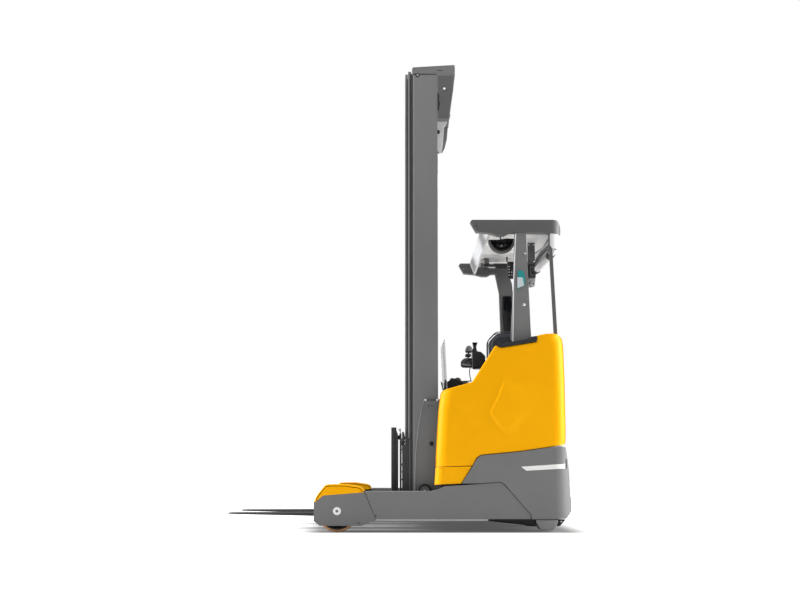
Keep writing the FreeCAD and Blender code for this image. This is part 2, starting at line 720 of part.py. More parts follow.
def outer_mast():
    """Fixed rails with their top yoke and the two lift cylinder barrels."""
    rails = rail_pair("outer", "mast", "mastrear", "rail", "middle", "mastlow", "masttop")
    foot = box("outer_foot", "mastrear-foot_plate mastrear", "-middle middle", "mastlow mastlow+150")
    tie = box("outer_tie", "mastrear-yoke_plate mastrear", "-middle middle", "masttop-1700 masttop-1560")
    barrel = rod("lift_barrel", "z", "barrel_radius", "masttop-mastlow-295", "barrel -barrelside mastlow+5")
    bore = rod("lift_barrel_bore", "z", "barrel_bore", "masttop-mastlow-295", "barrel -barrelside mastlow+25")
    shelf = box("barrel_shelf", "middlerear+10 mastrear", "-middle middle", "mastlow mastlow+12")
    block = fuse("outer_mast_block", rails + [foot, tie, shelf, barrel, mirrored("far_lift_barrel", barrel)])
    node(cut("outer_mast_solid", block, [bore, mirrored("far_lift_bore", bore)]), "outer_mast")
    cap = prism("yoke_cap", "XY_Plane",
                "mast,-rail@12 mast+313,-rail@12 mast+313,rail@12 mast,rail@12 mast,middle mastrear+8,middle "
                "mastrear+8,-middle mast,-middle",
                "masttop", "masttop+yoke_height")
    slope = prism("yoke_slope", "XZ_Plane",
                  "mast,masttop mast+313,masttop mast+313,masttop+yoke_height mast+12,masttop+yoke_height-18 "
                  "mast,masttop+yoke_height-22",
                  "-rail", "rail")
    cheek = prism("yoke_cheek", "XZ_Plane",
                  "mastrear,masttop mast+309,masttop mast+300,masttop-110 mast+285,masttop-210@60 "
                  "mast+250,masttop-300@20 mastrear,masttop-320",
                  "-rail", "-rail+yoke_plate")
    far_cheek = prism("yoke_far_cheek", "XZ_Plane",
                      "mastrear,masttop mast+309,masttop mast+302,masttop-90 mast+284,masttop-170@30 "
                      "mast+262,masttop-214@15 mastrear,masttop-225",
                      "rail-yoke_plate", "rail")
    node(fuse("mast_yoke_solid", [common("yoke_cap_slope", cap, slope), cheek, far_cheek]), "mast_yoke")


def middle_mast():
    """Second stage, pushed up by the two lift rods."""
    rails = rail_pair("middle", "middlefront", "middlerear", "second", "secondin", "middlelow", "masttop+40")
    top = box("middle_top", "middletie middlerear", "-second second", "masttop-110 masttop+40")
    foot = box("middle_foot", "middletie middlerear", "-second second", "middlelow middlelow+100")
    lug = box("middle_lug", "middletie mastrear", "-second second", "masttop-40 masttop+40")
    stem = rod("lift_rod", "z", "lift_rod_radius", "masttop-mastlow-85", "barrel -barrelside mastlow+65")
    node(fuse("middle_mast_solid", rails + [top, foot, lug, stem, mirrored("far_lift_rod", stem)]), "middle_mast")


def inner_mast():
    """Third stage with the free lift cylinder between its rails."""
    rails = rail_pair("inner", "innerfront", "innerrear", "third", "thirdin", "innerlow", "masttop+36")
    top = box("inner_top", "innerrear-rail_wall innerrear", "-third third", "masttop-84 masttop+36")
    foot = box("inner_foot", "innerrear-rail_wall innerrear", "-third third", "innerlow innerlow+100")
    shelf = box("inner_shelf", "freebarrel-41 innerrear", "zero-110 zero+110", "innerlow innerlow+40")
    full = rod("free_barrel_full", "z", "free_barrel_radius", "freetop-innerlow-38", "freebarrel zero innerlow+38")
    bore = rod("free_barrel_bore", "z", "free_barrel_bore", "freetop-innerlow-38", "freebarrel zero innerlow+50")
    barrel = cut("free_barrel", full, [bore])
    node(fuse("inner_mast_solid", rails + [top, foot, shelf, barrel]), "inner_mast")
    piston = rod("free_rod_stem", "z", "free_rod_radius", "freetop-innerlow-60", "freebarrel zero innerlow+110")
    head = box("free_rod_head", "freebarrel-30 freebarrel+20", "zero-90 zero+90", "freetop+32 freetop+92")
    node(fuse("free_lift_rod_solid", [piston, head]), "free_lift_rod")


# -------------------------------------------------------------- fork carriage

def lift_carriage():
    """Front plates, two arms with rollers in the inner rails and two chain anchors."""
    bars = [box(f"lift_{name}_bar", "liftface liftrear", "-liftside liftside", heights)
            for name, heights in (("top", "shank-110 shank-40"), ("low", "lowplate+20 lowplate+90"))]
    cheek = box("lift_cheek", "liftface liftrear", "-thirdin+16 -thirdin+80", "lowplate+20 shank-40")
    side_arm = box("lift_arm", "liftrear-4 liftrear+126", "-thirdin+rail_wall -thirdin+2*rail_wall",
                   "lowplate+40 lowplate+520")
    anchor = box("chain_anchor", "liftrear-4 liftrear+40", "zero-75 zero-45", "lowplate+40 lowplate+90")
    rollers = [rod(f"lift_roller_{name}", "y", "inner_depth/2-rail_wall-roller_play", "rail_width-stage_gap",
                   f"rollerline -channel+stage_gap lowplate{height}")
               for name, height in (("low", "+110"), ("high", "+450"))]
    near = [cheek, side_arm, anchor] + rollers
    far = [mirrored(f"far_{item.Name}", item) for item in near]
    node(fuse("lift_carriage_solid", bars + near + far), "lift_carriage")


def side_shift():
    """Side shift frame with the tilt pin that the fork frame hangs on."""
    frame = box("shift_block", "shiftface shiftrear", "-liftside+20 liftside-20", "lowplate+30 shank-50")
    window = box("shift_window", "shiftface-overcut shiftrear+overcut", "-liftside+120 liftside-120",
                 "lowplate+110 shank-120")
    lug = box("shift_lug", "tiltrear+2 shiftface", "zero-90 zero-70", "tiltheight-12 tiltheight+12")
    pin = rod("tilt_pin", "y", "tilt_pin_radius", "160", "tiltpin zero-80 tiltheight")
    plate = cut("shift_plate_solid", frame, [window])
    node(fuse("side_shift_solid", [plate, lug, mirrored("far_shift_lug", lug), pin]), "side_shift_frame")


def fork_frame():
    """Tilting plate with two lugs on the pin, and the forks in front of it."""
    block = box("fork_frame_block", "tiltface tiltrear", "-liftside+10 liftside-10", "lowplate+20 shank-40")
    window = box("fork_frame_window", "tiltface-overcut tiltrear+overcut", "-liftside+90 liftside-90",
                 "lowplate+100 shank-120")
    lug = box("fork_lug", "tiltrear shiftface-lug_play", "zero-65 zero-45", "tiltheight-12 tiltheight+12")
    hole = rod("pin_hole", "y", "tilt_pin_radius+running_clearance", "160", "tiltpin zero-80 tiltheight")
    lugs = cut("fork_lugs", fuse("fork_lug_pair", [lug, mirrored("far_fork_lug", lug)]), [hole])
    node(fuse("fork_frame_solid", [cut("fork_plate", block, [window]), lugs]), "fork_frame")
    blade = ("fork,shank@10 tiltface,shank tiltface,forktop-fork_thickness@12 fork-200,forktop-fork_thickness "
             "fork-fork_length,forktop-14@3 fork-fork_length,forktop-4@3 fork-300,forktop fork,forktop@30")
    both_sides(lambda name: prism(name, "XZ_Plane", blade, "-(fork_spacing+fork_width)/2",
                                  "-(fork_spacing-fork_width)/2"), "fork")


def build():
    """Make every sub-part."""
    chassis_frame()
    running_gear()
    drive_unit()
    pair(stabiliser, "stabilisers")
    battery()
    body_panels()
    rear_cover()
    cab()
    guard()
    reach_carriage()
    outer_mast()
    middle_mast()
    inner_mast()
    lift_carriage()
    side_shift()
    fork_frame()


build()
doc.recompute()

# -------------------------------------------------------------------- output

failed = [item.Name for item in doc.Objects if {"Invalid", "Error"} & set(item.State)]
if failed:
    raise RuntimeError("failed objects: " + ", ".join(failed))
os.makedirs("parts", exist_ok=True)
for item in NODES:
    shape = item.Shape
    if shape.isNull() or not shape.isValid():
        raise RuntimeError(item.Label + " has no valid shape")
    shape.exportStep(f"parts/{item.Label}.step")
    print(f"{item.Label}: {len(shape.Solids)} solid(s), {shape.Volume / 1e6:.2f} litres")
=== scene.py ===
"""Reach truck with a three-stage mast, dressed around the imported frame."""
import logging
import math
from dataclasses import dataclass
from enum import Enum
from typing import Callable, Iterable, Optional, Sequence

import bpy
import numpy as np
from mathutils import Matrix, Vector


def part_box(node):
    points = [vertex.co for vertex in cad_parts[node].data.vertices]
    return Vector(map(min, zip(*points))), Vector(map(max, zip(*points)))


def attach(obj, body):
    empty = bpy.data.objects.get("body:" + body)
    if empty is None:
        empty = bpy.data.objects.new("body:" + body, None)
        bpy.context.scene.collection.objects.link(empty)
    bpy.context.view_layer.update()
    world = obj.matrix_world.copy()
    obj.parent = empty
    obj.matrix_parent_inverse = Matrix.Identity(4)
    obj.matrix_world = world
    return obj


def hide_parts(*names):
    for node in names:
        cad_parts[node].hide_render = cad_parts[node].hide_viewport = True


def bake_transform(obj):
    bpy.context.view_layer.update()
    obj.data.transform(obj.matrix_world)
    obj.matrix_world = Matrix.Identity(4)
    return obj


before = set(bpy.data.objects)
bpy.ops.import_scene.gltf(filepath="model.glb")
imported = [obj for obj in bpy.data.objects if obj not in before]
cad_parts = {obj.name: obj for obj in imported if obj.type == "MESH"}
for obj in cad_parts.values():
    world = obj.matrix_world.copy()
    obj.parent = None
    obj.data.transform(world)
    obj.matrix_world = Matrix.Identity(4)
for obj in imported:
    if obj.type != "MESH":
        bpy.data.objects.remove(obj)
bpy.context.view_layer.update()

LOG = logging.getLogger("reach_truck")
MM = 0.001


class Axis(Enum):
    """Direction that a slab is pushed or a round piece is turned about."""

    X = 0
    Y = 1
    Z = 2


X, Y, Z = Axis
PLAN = {X: (1, 2), Y: (0, 2), Z: (0, 1)}
Points = Sequence[Sequence[float]]
Tree, Node, Socket = bpy.types.NodeTree, bpy.types.Node, bpy.types.NodeSocket


# ---- surfaces

@dataclass
class Shell:
    """Closed piece of a mesh: points in millimetres, faces as rows of indices, and a finish number."""

    points: np.ndarray
    faces: list
    finish: int = 0

    def moved(self, x: float = 0.0, y: float = 0.0, z: float = 0.0) -> "Shell":
        """Copy of the shell, shifted."""
        return Shell(self.points + np.array([x, y, z]), self.faces, self.finish)

    def turned(self, axis: Axis, degrees: float, about: Sequence[float] = (0, 0, 0)) -> "Shell":
        """Copy of the shell, turned about an axis through a point.

        Args:
            axis: direction of the turning axis.
            degrees: angle by the right hand rule.
            about: point on the axis.
        Returns:
            The turned shell: each point is a rotation matrix times its offset from the axis.
        """
        c, s = math.cos(math.radians(degrees)), math.sin(math.radians(degrees))
        a, b = (axis.value + 1) % 3, (axis.value + 2) % 3
        matrix = np.eye(3)
        matrix[[a, a, b, b], [a, b, a, b]] = [c, -s, s, c]
        centre = np.asarray(about, float)
        return Shell((self.points - centre) @ matrix.T + centre, self.faces, self.finish)

    def mirrored(self) -> "Shell":
        """Copy on the other side of the truck, with its faces turned back outwards."""
        return Shell(self.points * [1, -1, 1], [tuple(face)[::-1] for face in self.faces], self.finish)


def limits(node: str) -> tuple:
    """Lowest and highest corner of a node's box at rest, in millimetres."""
    low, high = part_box(node)
    return np.array(low) / MM, np.array(high) / MM


def both(parts: Iterable[Shell]) -> list:
    """Pieces and their copies on the other side of the truck."""
    near = list(parts)
    return near + [part.mirrored() for part in near]


def quads(rows: int, columns: int, close_rows: bool = False, close_columns: bool = True) -> list:
    """Index rows of the faces between neighbouring points of a grid.

    Args:
        rows: number of grid rows.
        columns: number of points in each row.
        close_rows: the last row meets the first.
        close_columns: the last point of a row meets its first.
    Returns:
        Four indices for each face: a point, the next in its row, and the two beside them in the next row.
    """
    r = np.arange(rows if close_rows else rows - 1)[:, None]
    c = np.arange(columns if close_columns else columns - 1)[None, :]
    r2, c2 = (r + 1) % rows, (c + 1) % columns
    grid = np.stack([r * columns + c, r * columns + c2, r2 * columns + c2, r2 * columns + c], axis=-1)
    return grid.reshape(-1, 4).tolist()


def rim_of(rows: int, columns: int) -> np.ndarray:
    """Indices of a grid's outer points, once round."""
    index = np.arange(rows * columns).reshape(rows, columns)
    return np.concatenate([index[0], index[1:, -1], index[-1, -2::-1], index[-2:0:-1, 0]])


def volume(points: np.ndarray, faces: list) -> float:
    """Signed volume of a closed shell, as the sum of the cones from the origin to its faces."""
    total = 0.0
    by_size = {}
    for face in faces:
        by_size.setdefault(len(face), []).append(face)
    middle = points.mean(axis=0)
    for size, group in by_size.items():
        p = points[np.array(group)] - middle
        for k in range(1, size - 1):
            total += np.einsum("ij,ij->i", p[:, 0], np.cross(p[:, k], p[:, k + 1])).sum()
    return total


def outward(points: np.ndarray, faces: list, finish: int = 0) -> Shell:
    """Shell with its faces turned outwards: they are reversed where its signed volume is negative."""
    if volume(points, faces) < 0:
        faces = [face[::-1] for face in faces]
    return Shell(points, faces, finish)


def shell(grid: np.ndarray, finish: int = 0, close_rows: bool = False, caps: bool = True) -> Shell:
    """Closed shell from rings of points.

    Args:
        grid: rings by points by three, each ring closed on itself.
        finish: finish number.
        close_rows: the last ring meets the first, as in a ring-shaped piece.
        caps: the first and last rings are filled.
    Returns:
        The shell with its faces outwards.
    """
    rows, columns = grid.shape[:2]
    faces = quads(rows, columns, close_rows)
    if caps and not close_rows:
        faces.append(list(range(columns))[::-1])
        faces.append(list(range((rows - 1) * columns, rows * columns)))
    return outward(grid.reshape(-1, 3).astype(float), faces, finish)


def rounded(corners: Points, steps: int = 6) -> np.ndarray:
    """Outline through corners, each rounded by a tangent arc.

    Args:
        corners: two coordinates each, and a radius where the corner is rounded.
        steps: segments in each arc.
    Returns:
        Points of the closed outline. An arc starts at radius times the tangent of half the turn
        before its corner and swings between the two edge directions about its centre.
    """
    spots = [tuple(c) + (0.0,) * (3 - len(c)) for c in corners]
    outline = []
    for index, (x, y, radius) in enumerate(spots):
        here = np.array([x, y])
        before = np.array(spots[index - 1][:2]) - here
        after = np.array(spots[(index + 1) % len(spots)][:2]) - here
        reach = min(np.linalg.norm(before), np.linalg.norm(after)) * 0.49
        a, b = before / np.linalg.norm(before), after / np.linalg.norm(after)
        half = math.acos(float(np.clip(a @ b, -1, 1))) / 2
        if radius <= 0 or half > math.pi / 2 - 0.01:
            outline.append(here[None])
            continue
        back = min(radius / math.tan(half), reach)
        radius = back * math.tan(half)
        centre = here + (a + b) / np.linalg.norm(a + b) * radius / math.sin(half)
        start, end = here + a * back - centre, here + b * back - centre
        sweep = math.pi - 2 * half
        t = np.linspace(0, 1, steps + 1)[:, None]
        outline.append(centre + (np.sin((1 - t) * sweep) * start + np.sin(t * sweep) * end)
            / math.sin(sweep))
    points = np.concatenate(outline)
    x, y = points.T
    turn = (x * np.roll(y, -1) - y * np.roll(x, -1)).sum()
    return points if turn > 0 else points[::-1]


def inset(outline: np.ndarray, distance: float) -> np.ndarray:
    """Outline moved inwards: each point goes along the mitre of its two edge normals."""
    edge = np.roll(outline, -1, axis=0) - outline
    length = np.maximum(np.linalg.norm(edge, axis=1), 1e-9)
    normal = np.stack([-edge[:, 1], edge[:, 0]], axis=1) / length[:, None]
    back = np.roll(normal, 1, axis=0)
    mitre = (normal + back) / np.maximum(1 + (normal * back).sum(axis=1), 0.3)[:, None]
    return outline + mitre * distance


def lift(outline: np.ndarray, axis: Axis, height: np.ndarray) -> np.ndarray:
    """Plan points put in space at a height along the axis: XZ plan for Y, XY for Z and YZ for X."""
    flat = np.empty(outline.shape[:-1] + (3,))
    flat[..., axis.value] = height
    first, second = PLAN[axis]
    flat[..., first], flat[..., second] = outline[..., 0], outline[..., 1]
    return flat


def slab(corners: Points, axis: Axis, low: float, high: float, edge: float = 2.0, finish: int = 0,
        steps: int = 3, arc: int = 6) -> Shell:
    """Outline pushed along an axis with rounded edges.

    Args:
        corners: outline as for rounded().
        axis: direction of the push.
        low: start along the axis.
        high: end along the axis.
        edge: radius of both edges.
        finish: finish number.
        steps: rings in each rounded edge.
        arc: segments in each rounded corner.
    Returns:
        Rings of the outline: the inset is edge times one less the sine, and the height edge times one
        less the cosine, of an angle that runs through a quarter turn at each end.
    """
    outline = rounded(corners, arc) if not isinstance(corners, np.ndarray) else corners
    edge = min(edge, abs(high - low) * 0.49)
    angle = np.linspace(0, math.pi / 2, steps + 1)
    insets = edge * (1 - np.sin(angle))
    rise = edge * (1 - np.cos(angle))
    rings = [lift(inset(outline, i), axis, low + h) for i, h in zip(insets, rise)]
    rings += [lift(inset(outline, i), axis, high - h) for i, h in zip(insets[::-1], rise[::-1])]
    return shell(np.stack(rings), finish)


def block(low: Sequence[float], high: Sequence[float], edge: float = 2.0, corner: float = 0.0,
        axis: Axis = Y, finish: int = 0) -> Shell:
    """Plate or bar between two corners: a rectangle with rounded corners carried through rounded edges."""
    first, second = PLAN[axis]
    a, b = (low[first], low[second]), (high[first], high[second])
    corners = [(a[0], a[1], corner), (b[0], a[1], corner), (b[0], b[1], corner), (a[0], b[1], corner)]
    return slab(corners, axis, low[axis.value], high[axis.value], edge, finish)


def lathe(profile: Points, axis: Axis, centre: Sequence[float], around: int = 48, finish: int = 0,
        ring: bool = False) -> Shell:
    """Profile of (radius, distance along the axis) turned about an axis.

    Args:
        profile: points from one end to the other, or once round the section of a ring.
        axis: turning axis.
        centre: origin of the profile.
        around: steps in the full turn.
        finish: finish number.
        ring: the profile closes on itself.
    Returns:
        Each point goes round its circle: radius times cosine and sine on the two cross axes.
    """
    radius, along = np.asarray(profile, float).T
    turn = np.linspace(0, 2 * math.pi, around, endpoint=False)
    grid = np.empty((len(radius), around, 3))
    grid[..., axis.value] = along[:, None]
    grid[..., (axis.value + 1) % 3] = np.maximum(radius, 0.05)[:, None] * np.cos(turn)
    grid[..., (axis.value + 2) % 3] = np.maximum(radius, 0.05)[:, None] * np.sin(turn)
    return shell(grid + np.asarray(centre, float), finish, close_rows=ring)


def eased(points: Points, rounds: int = 3) -> np.ndarray:
    """Path with its corners cut: each round puts points at a quarter and three quarters of each run."""
    path = np.asarray(points, float)
    for _ in range(rounds):
        cut = np.stack([0.75 * path[:-1] + 0.25 * path[1:], 0.25 * path[:-1] + 0.75 * path[1:]], axis=1)
        path = np.concatenate([path[:1], cut.reshape(-1, path.shape[1]), path[-1:]])
    return path


def sweep(path: np.ndarray, section: np.ndarray, up: Sequence[float] = (0, 1, 0), finish: int = 0,
        scale: Optional[np.ndarray] = None, closed: bool = False) -> Shell:
    """Section carried along a path.

    Args:
        path: points of the centre line.
        section: points of the closed section, as (side, up) distances.
        up: direction that the section's second axis leans to.
        finish: finish number.
        scale: size of the section at each path point.
        closed: the path is a loop.
    Returns:
        At each path point the side axis is tangent cross up, and the section's points are laid off
        along the side axis and the axis square to it.
    """
    if closed:
        tangent = np.roll(path, -1, axis=0) - np.roll(path, 1, axis=0)
    else:
        tangent = np.gradient(path, axis=0)
    tangent /= np.linalg.norm(tangent, axis=1)[:, None]
    side = np.cross(tangent, np.asarray(up, float))
    side /= np.linalg.norm(side, axis=1)[:, None]
    over = np.cross(side, tangent)
    size = np.ones(len(path)) if scale is None else scale
    grid = path[:, None] + size[:, None, None] * (section[None, :, :1] * side[:, None]
        + section[None, :, 1:] * over[:, None])
    return shell(grid, finish, close_rows=closed)


def circle(radius: float, around: int = 12) -> np.ndarray:
    """Points of a circle, for a tube's section."""
    turn = np.linspace(0, 2 * math.pi, around, endpoint=False)
    return radius * np.stack([np.cos(turn), np.sin(turn)], axis=1)


def oblong(width: float, height: float, radius: float) -> np.ndarray:
    """Points of a rectangle with rounded corners, centred, for a section."""
    w, h = width / 2, height / 2
    return rounded([(-w, -h, radius), (w, -h, radius), (w, h, radius), (-w, h, radius)], 4)


def tube(points: Points, radius: float, up: Sequence[float] = (0, 1, 0), finish: int = 0, rounds: int = 3,
        around: int = 12) -> Shell:
    """Round bar or hose along an eased path."""
    return sweep(eased(points, rounds), circle(radius, around), up, finish)


def bolt(spot: Sequence[float], axis: Axis, way: int, size: float = 8.0, finish: int = 0) -> list:
    """Hexagon head on a washer.

    Args:
        spot: centre of the seat.
        axis: direction of the screw.
        way: 1 or -1, the side that the head points to.
        size: nominal thread size.
        finish: finish number.
    Returns:
        A washer as a turned profile, and a head as a hexagon with a turned chamfer.
    """
    w, h, o = size * 1.1, size * 0.65, way
    washer = lathe([(w, -1 * o), (w, 1.2 * o), (w * 0.9, 1.8 * o)], axis, spot, 16, finish)
    head = lathe([(size * 0.85, 0), (size * 0.85, h * o), (size * 0.65, (h + 1.2) * o)], axis, spot, 6,
        finish)
    return [washer, head]


def bolts(spots: Iterable[Sequence[float]], axis: Axis, way: int, size: float = 8.0,
        finish: int = 0) -> list:
    """A bolt at each of several places."""
    return [part for spot in spots for part in bolt(spot, axis, way, size, finish)]


def coons(bottom: np.ndarray, top: np.ndarray, left: np.ndarray, right: np.ndarray, u: np.ndarray,
        v: np.ndarray) -> np.ndarray:
    """Grid that fills four border curves.

    Args:
        bottom: border curve from the left to the right end.
        top: border curve from the left to the right end.
        left: border curve from the bottom to the top.
        right: border curve from the bottom to the top.
        u: places across, from 0 to 1.
        v: places up, from 0 to 1.
    Returns:
        Blend across plus blend up less the blend of the four corners, as in a Coons patch.
    """
    def at(curve: np.ndarray, t: np.ndarray) -> np.ndarray:
        """Points at shares of the curve's length."""
        length = np.concatenate([[0], np.cumsum(np.linalg.norm(np.diff(curve, axis=0), axis=1))])
        return np.stack([np.interp(t * length[-1], length, curve[:, k]) for k in range(curve.shape[1])],
            axis=-1)
    b, t, l, r = at(bottom, u), at(top, u), at(left, v), at(right, v)
    uu, vv = u[None, :, None], v[:, None, None]
    across = (1 - uu) * l[:, None] + uu * r[:, None]
    upward = (1 - vv) * b[None] + vv * t[None]
    corners = ((1 - uu) * (1 - vv) * b[0] + uu * (1 - vv) * b[-1] + (1 - uu) * vv * t[0] + uu * vv * t[-1])
    return across + upward - corners


def spread(count: int, low: float, high: float, fine: int = 7) -> np.ndarray:
    """Places from 0 to 1, close together within a share low of the start and high of the end."""
    ease = 1 - np.cos(np.linspace(0, math.pi / 2, fine))
    return np.unique(np.concatenate([low * ease, np.linspace(low, 1 - high, count), 1 - high * ease]))


# ---- finishes

def linear(code: str, alpha: float = 1.0) -> tuple:
    """Linear colour of an sRGB hex code: each channel through the inverse of the sRGB curve."""
    value = np.array([int(code[i:i + 2], 16) for i in (1, 3, 5)]) / 255
    value = np.where(value <= 0.04045, value / 12.92, ((value + 0.055) / 1.055) ** 2.4)
    return (*value.tolist(), alpha)


def scaled(colour: Sequence[float], share: float) -> tuple:
    """Linear colour made lighter or darker by a share."""
    return tuple(min(1.0, channel * share) for channel in colour[:3]) + (1.0,)


def emptied(owner: bpy.types.ID) -> Tree:
    """Node tree of a material or world, switched on and with its default nodes taken out."""
    owner.use_nodes = True
    owner.node_tree.nodes.clear()
    return owner.node_tree


def linked(name: str, data: bpy.types.ID) -> bpy.types.Object:
    """New object for a mesh, lamp or camera, linked into the scene."""
    item = bpy.data.objects.new(name, data)
    bpy.context.scene.collection.objects.link(item)
    return item


def add(tree: Tree, kind: str, settings: Optional[dict] = None,
        links: Optional[dict] = None) -> Node:
    """Adds a node with its settings and the links into it.

    Args:
        tree: node tree of the material or the world.
        kind: node type, without its ShaderNode prefix.
        settings: values of its attributes or of its inputs, by name or number.
        links: output sockets, or nodes for their first output, by the name or number of the input
            that they feed.
    Returns:
        The new node.
    """
    item = tree.nodes.new("ShaderNode" + kind)
    for key, value in (settings or {}).items():
        if isinstance(key, str) and hasattr(item, key):
            setattr(item, key, value)
        else:
            item.inputs[key].default_value = value
    for key, source in (links or {}).items():
        tree.links.new(source.outputs[0] if isinstance(source, Node) else source, item.inputs[key])
    return item


@dataclass(frozen=True)
class Finish:
    """Surface of one real material: colour, gloss, fine grain, broad mottle, and edges lighter as wear and
    painted highlight.
    """

    name: str
    colour: str
    roughness: float
    metallic: float = 0.0
    ior: float = 1.5
    coat: float = 0.0
    grain_mm: float = 9.0
    grain_depth: float = 0.05
    mottle_mm: float = 180.0
    mottle: float = 0.05
    edge_wear_and_highlight: float = 0.0
    stretch: tuple = (1.0, 1.0, 1.0)
    specular: float = 0.3

    def place(self, tree: Tree) -> Socket:
        """Object coordinates, stretched where the finish runs one way, as brushed steel does."""
        source = add(tree, "TexCoord").outputs["Object"]
        if self.stretch == (1.0, 1.0, 1.0):
            return source
        return add(tree, "Mapping", {"Scale": self.stretch}, {"Vector": source}).outputs["Vector"]

    def relief(self, tree: Tree, place: Socket) -> Socket:
        """Height of the fine grain: noise at the grain's real size."""
        noise = add(tree, "TexNoise", {"Scale": 1 / (self.grain_mm * MM), "Detail": 3.0}, {"Vector": place})
        return noise.outputs["Fac"]

    def worn_and_highlit(self, tree: Tree, mottle: Socket, colour: Socket) -> Socket:
        """Colour with its edges lighter, as wear and as a painted highlight.

        Args:
            tree: the material's node tree.
            mottle: broad noise that breaks the lighter edges up.
            colour: colour without wear.
        Returns:
            Mix towards a lighter colour where a rounded normal leaves the true one.
        """
        soft = add(tree, "Bevel", {"samples": 4, "Radius": 3 * MM})
        true = add(tree, "NewGeometry")
        facing = add(tree, "VectorMath", {"operation": "DOT_PRODUCT"},
            {0: soft.outputs["Normal"], 1: true.outputs["Normal"]})
        bend = add(tree, "MapRange", {"From Min": 0.995, "From Max": 0.8, "To Max": self.edge_wear_and_highlight},
            {"Value": facing.outputs["Value"]})
        patchy = add(tree, "Math", {"operation": "MULTIPLY"}, {0: bend, 1: mottle})
        light = scaled(linear(self.colour), 1.9)
        mix = add(tree, "Mix", {"data_type": "RGBA", 7: light}, {0: patchy, 6: colour})
        return mix.outputs[2]

    def build(self) -> bpy.types.Material:
        """Makes the node material.

        Returns:
            A Principled shader whose colour is mixed by broad noise, whose roughness swings with it,
            and whose normal comes from the fine grain.
        """
        material = bpy.data.materials.new(self.name)
        tree = emptied(material)
        place = self.place(tree)
        broad = add(tree, "TexNoise", {"Scale": 1 / (self.mottle_mm * MM), "Detail": 5.0,
            "Roughness": 0.62}, {"Vector": place})
        contrast = add(tree, "MapRange", {"From Min": 0.3, "From Max": 0.7}, {"Value": broad})
        base = linear(self.colour)
        mix = add(tree, "Mix", {"data_type": "RGBA", 6: scaled(base, 1 - self.mottle),
            7: scaled(base, 1 + self.mottle)}, {0: contrast})
        colour = mix.outputs[2]
        # Painted highlight and wear: the edges are mixed towards a lighter colour.
        if self.edge_wear_and_highlight > 0:
            colour = self.worn_and_highlit(tree, contrast, colour)
        gloss = add(tree, "MapRange", {"To Min": self.roughness * 0.88,
            "To Max": min(1.0, self.roughness * 1.14)}, {"Value": contrast})
        bump = add(tree, "Bump", {"Strength": 1.0, "Distance": self.grain_depth * MM},
            {"Height": self.relief(tree, place)})
        settings = {"Metallic": self.metallic, "Coat Weight": self.coat}
        if self.metallic < 1:
            settings["IOR"] = self.ior
            settings["Specular IOR Level"] = self.specular
        shader = add(tree, "BsdfPrincipled", settings, {"Base Color": colour, "Roughness": gloss,
            "Normal": bump})
        add(tree, "OutputMaterial", {}, {"Surface": self.finished(tree, shader)})
        return material

    def finished(self, tree: Tree, shader: Node) -> Socket:
        """The shader's output, where a finish needs nothing mixed over it."""
        return shader.outputs["BSDF"]


@dataclass(frozen=True)
class Moulded(Finish):
    """Injection moulded plastic with a pebbled texture from its tool."""

    def relief(self, tree: Tree, place: Socket) -> Socket:
        """Pebbles: distance to the nearest cell centre at the grain's size."""
        cells = add(tree, "TexVoronoi", {"Scale": 1 / (self.grain_mm * MM)}, {"Vector": place})
        return cells.outputs["Distance"]


@dataclass(frozen=True)
class Woven(Finish):
    """Seat cloth: two crossed sets of threads over a soft nap."""

    def relief(self, tree: Tree, place: Socket) -> Socket:
        """Threads: the greater of two wave patterns that cross at a right angle."""
        pitch = {"Scale": 1 / (self.grain_mm * MM * 3.2), "Distortion": 0.4}
        warp = add(tree, "TexWave", dict(pitch, bands_direction="X"), {"Vector": place})
        weft = add(tree, "TexWave", dict(pitch, bands_direction="Z"), {"Vector": place})
        cloth = add(tree, "Math", {"operation": "MAXIMUM"}, {0: warp, 1: weft})
        return cloth.outputs["Value"]


@dataclass(frozen=True)
class Sheet(Finish):
    """Clear or tinted polycarbonate sheet that lets part of the view straight through."""

    clear: float = 0.5

    def finished(self, tree: Tree, shader: Node) -> Socket:
        """Mix of a see-through part and the glossy sheet."""
        through = add(tree, "BsdfTransparent")
        mix = add(tree, "MixShader", {0: 1 - self.clear}, {1: through, 2: shader})
        return mix.outputs["Shader"]


# Powder coat on pressed panels: even satin yellow with a faint orange peel.
YELLOW = Finish("yellow_powder_coat_on_pressed_steel", "#F4AC00", 0.44, specular=0.08, grain_mm=14.0,
    grain_depth=0.05, mottle=0.02, edge_wear_and_highlight=0.12)
# Powder coat on heavy plate: flatter grey, peel a little coarser than real so that it shows.
GREY = Finish("grey_powder_coat_on_steel_plate", "#6F6F6F", 0.5, grain_mm=10.0, grain_depth=0.07,
    mottle=0.045, edge_wear_and_highlight=0.3)
# Wet paint on rolled channel: the same grey, with long draw marks down the rail.
RAIL = Finish("grey_paint_on_rolled_channel", "#747474", 0.46, grain_mm=7.0, grain_depth=0.06, mottle=0.05,
    edge_wear_and_highlight=0.35, stretch=(1.0, 1.0, 0.12))
# Painted shade: the grey paint made darker on the guard's folded plate, the far pillar and small parts.
SHADED_GREY = Finish("grey_powder_coat_with_painted_shade", "#595959", 0.45, grain_mm=9.0, grain_depth=0.06,
    mottle=0.04, edge_wear_and_highlight=0.3)
PILLAR = Finish("mid_grey_powder_coat_on_tube", "#727272", 0.45, grain_mm=9.0, grain_depth=0.06,
    mottle=0.04, edge_wear_and_highlight=0.3)
# Forged and sawn steel under thin black paint: scale marks, and edges lighter as rubbed wear and painted
# highlight.
FORGED = Finish("black_painted_forged_steel", "#3B3B3C", 0.52, metallic=0.25, grain_mm=6.0,
    grain_depth=0.25, mottle_mm=90.0, mottle=0.14, edge_wear_and_highlight=0.55)
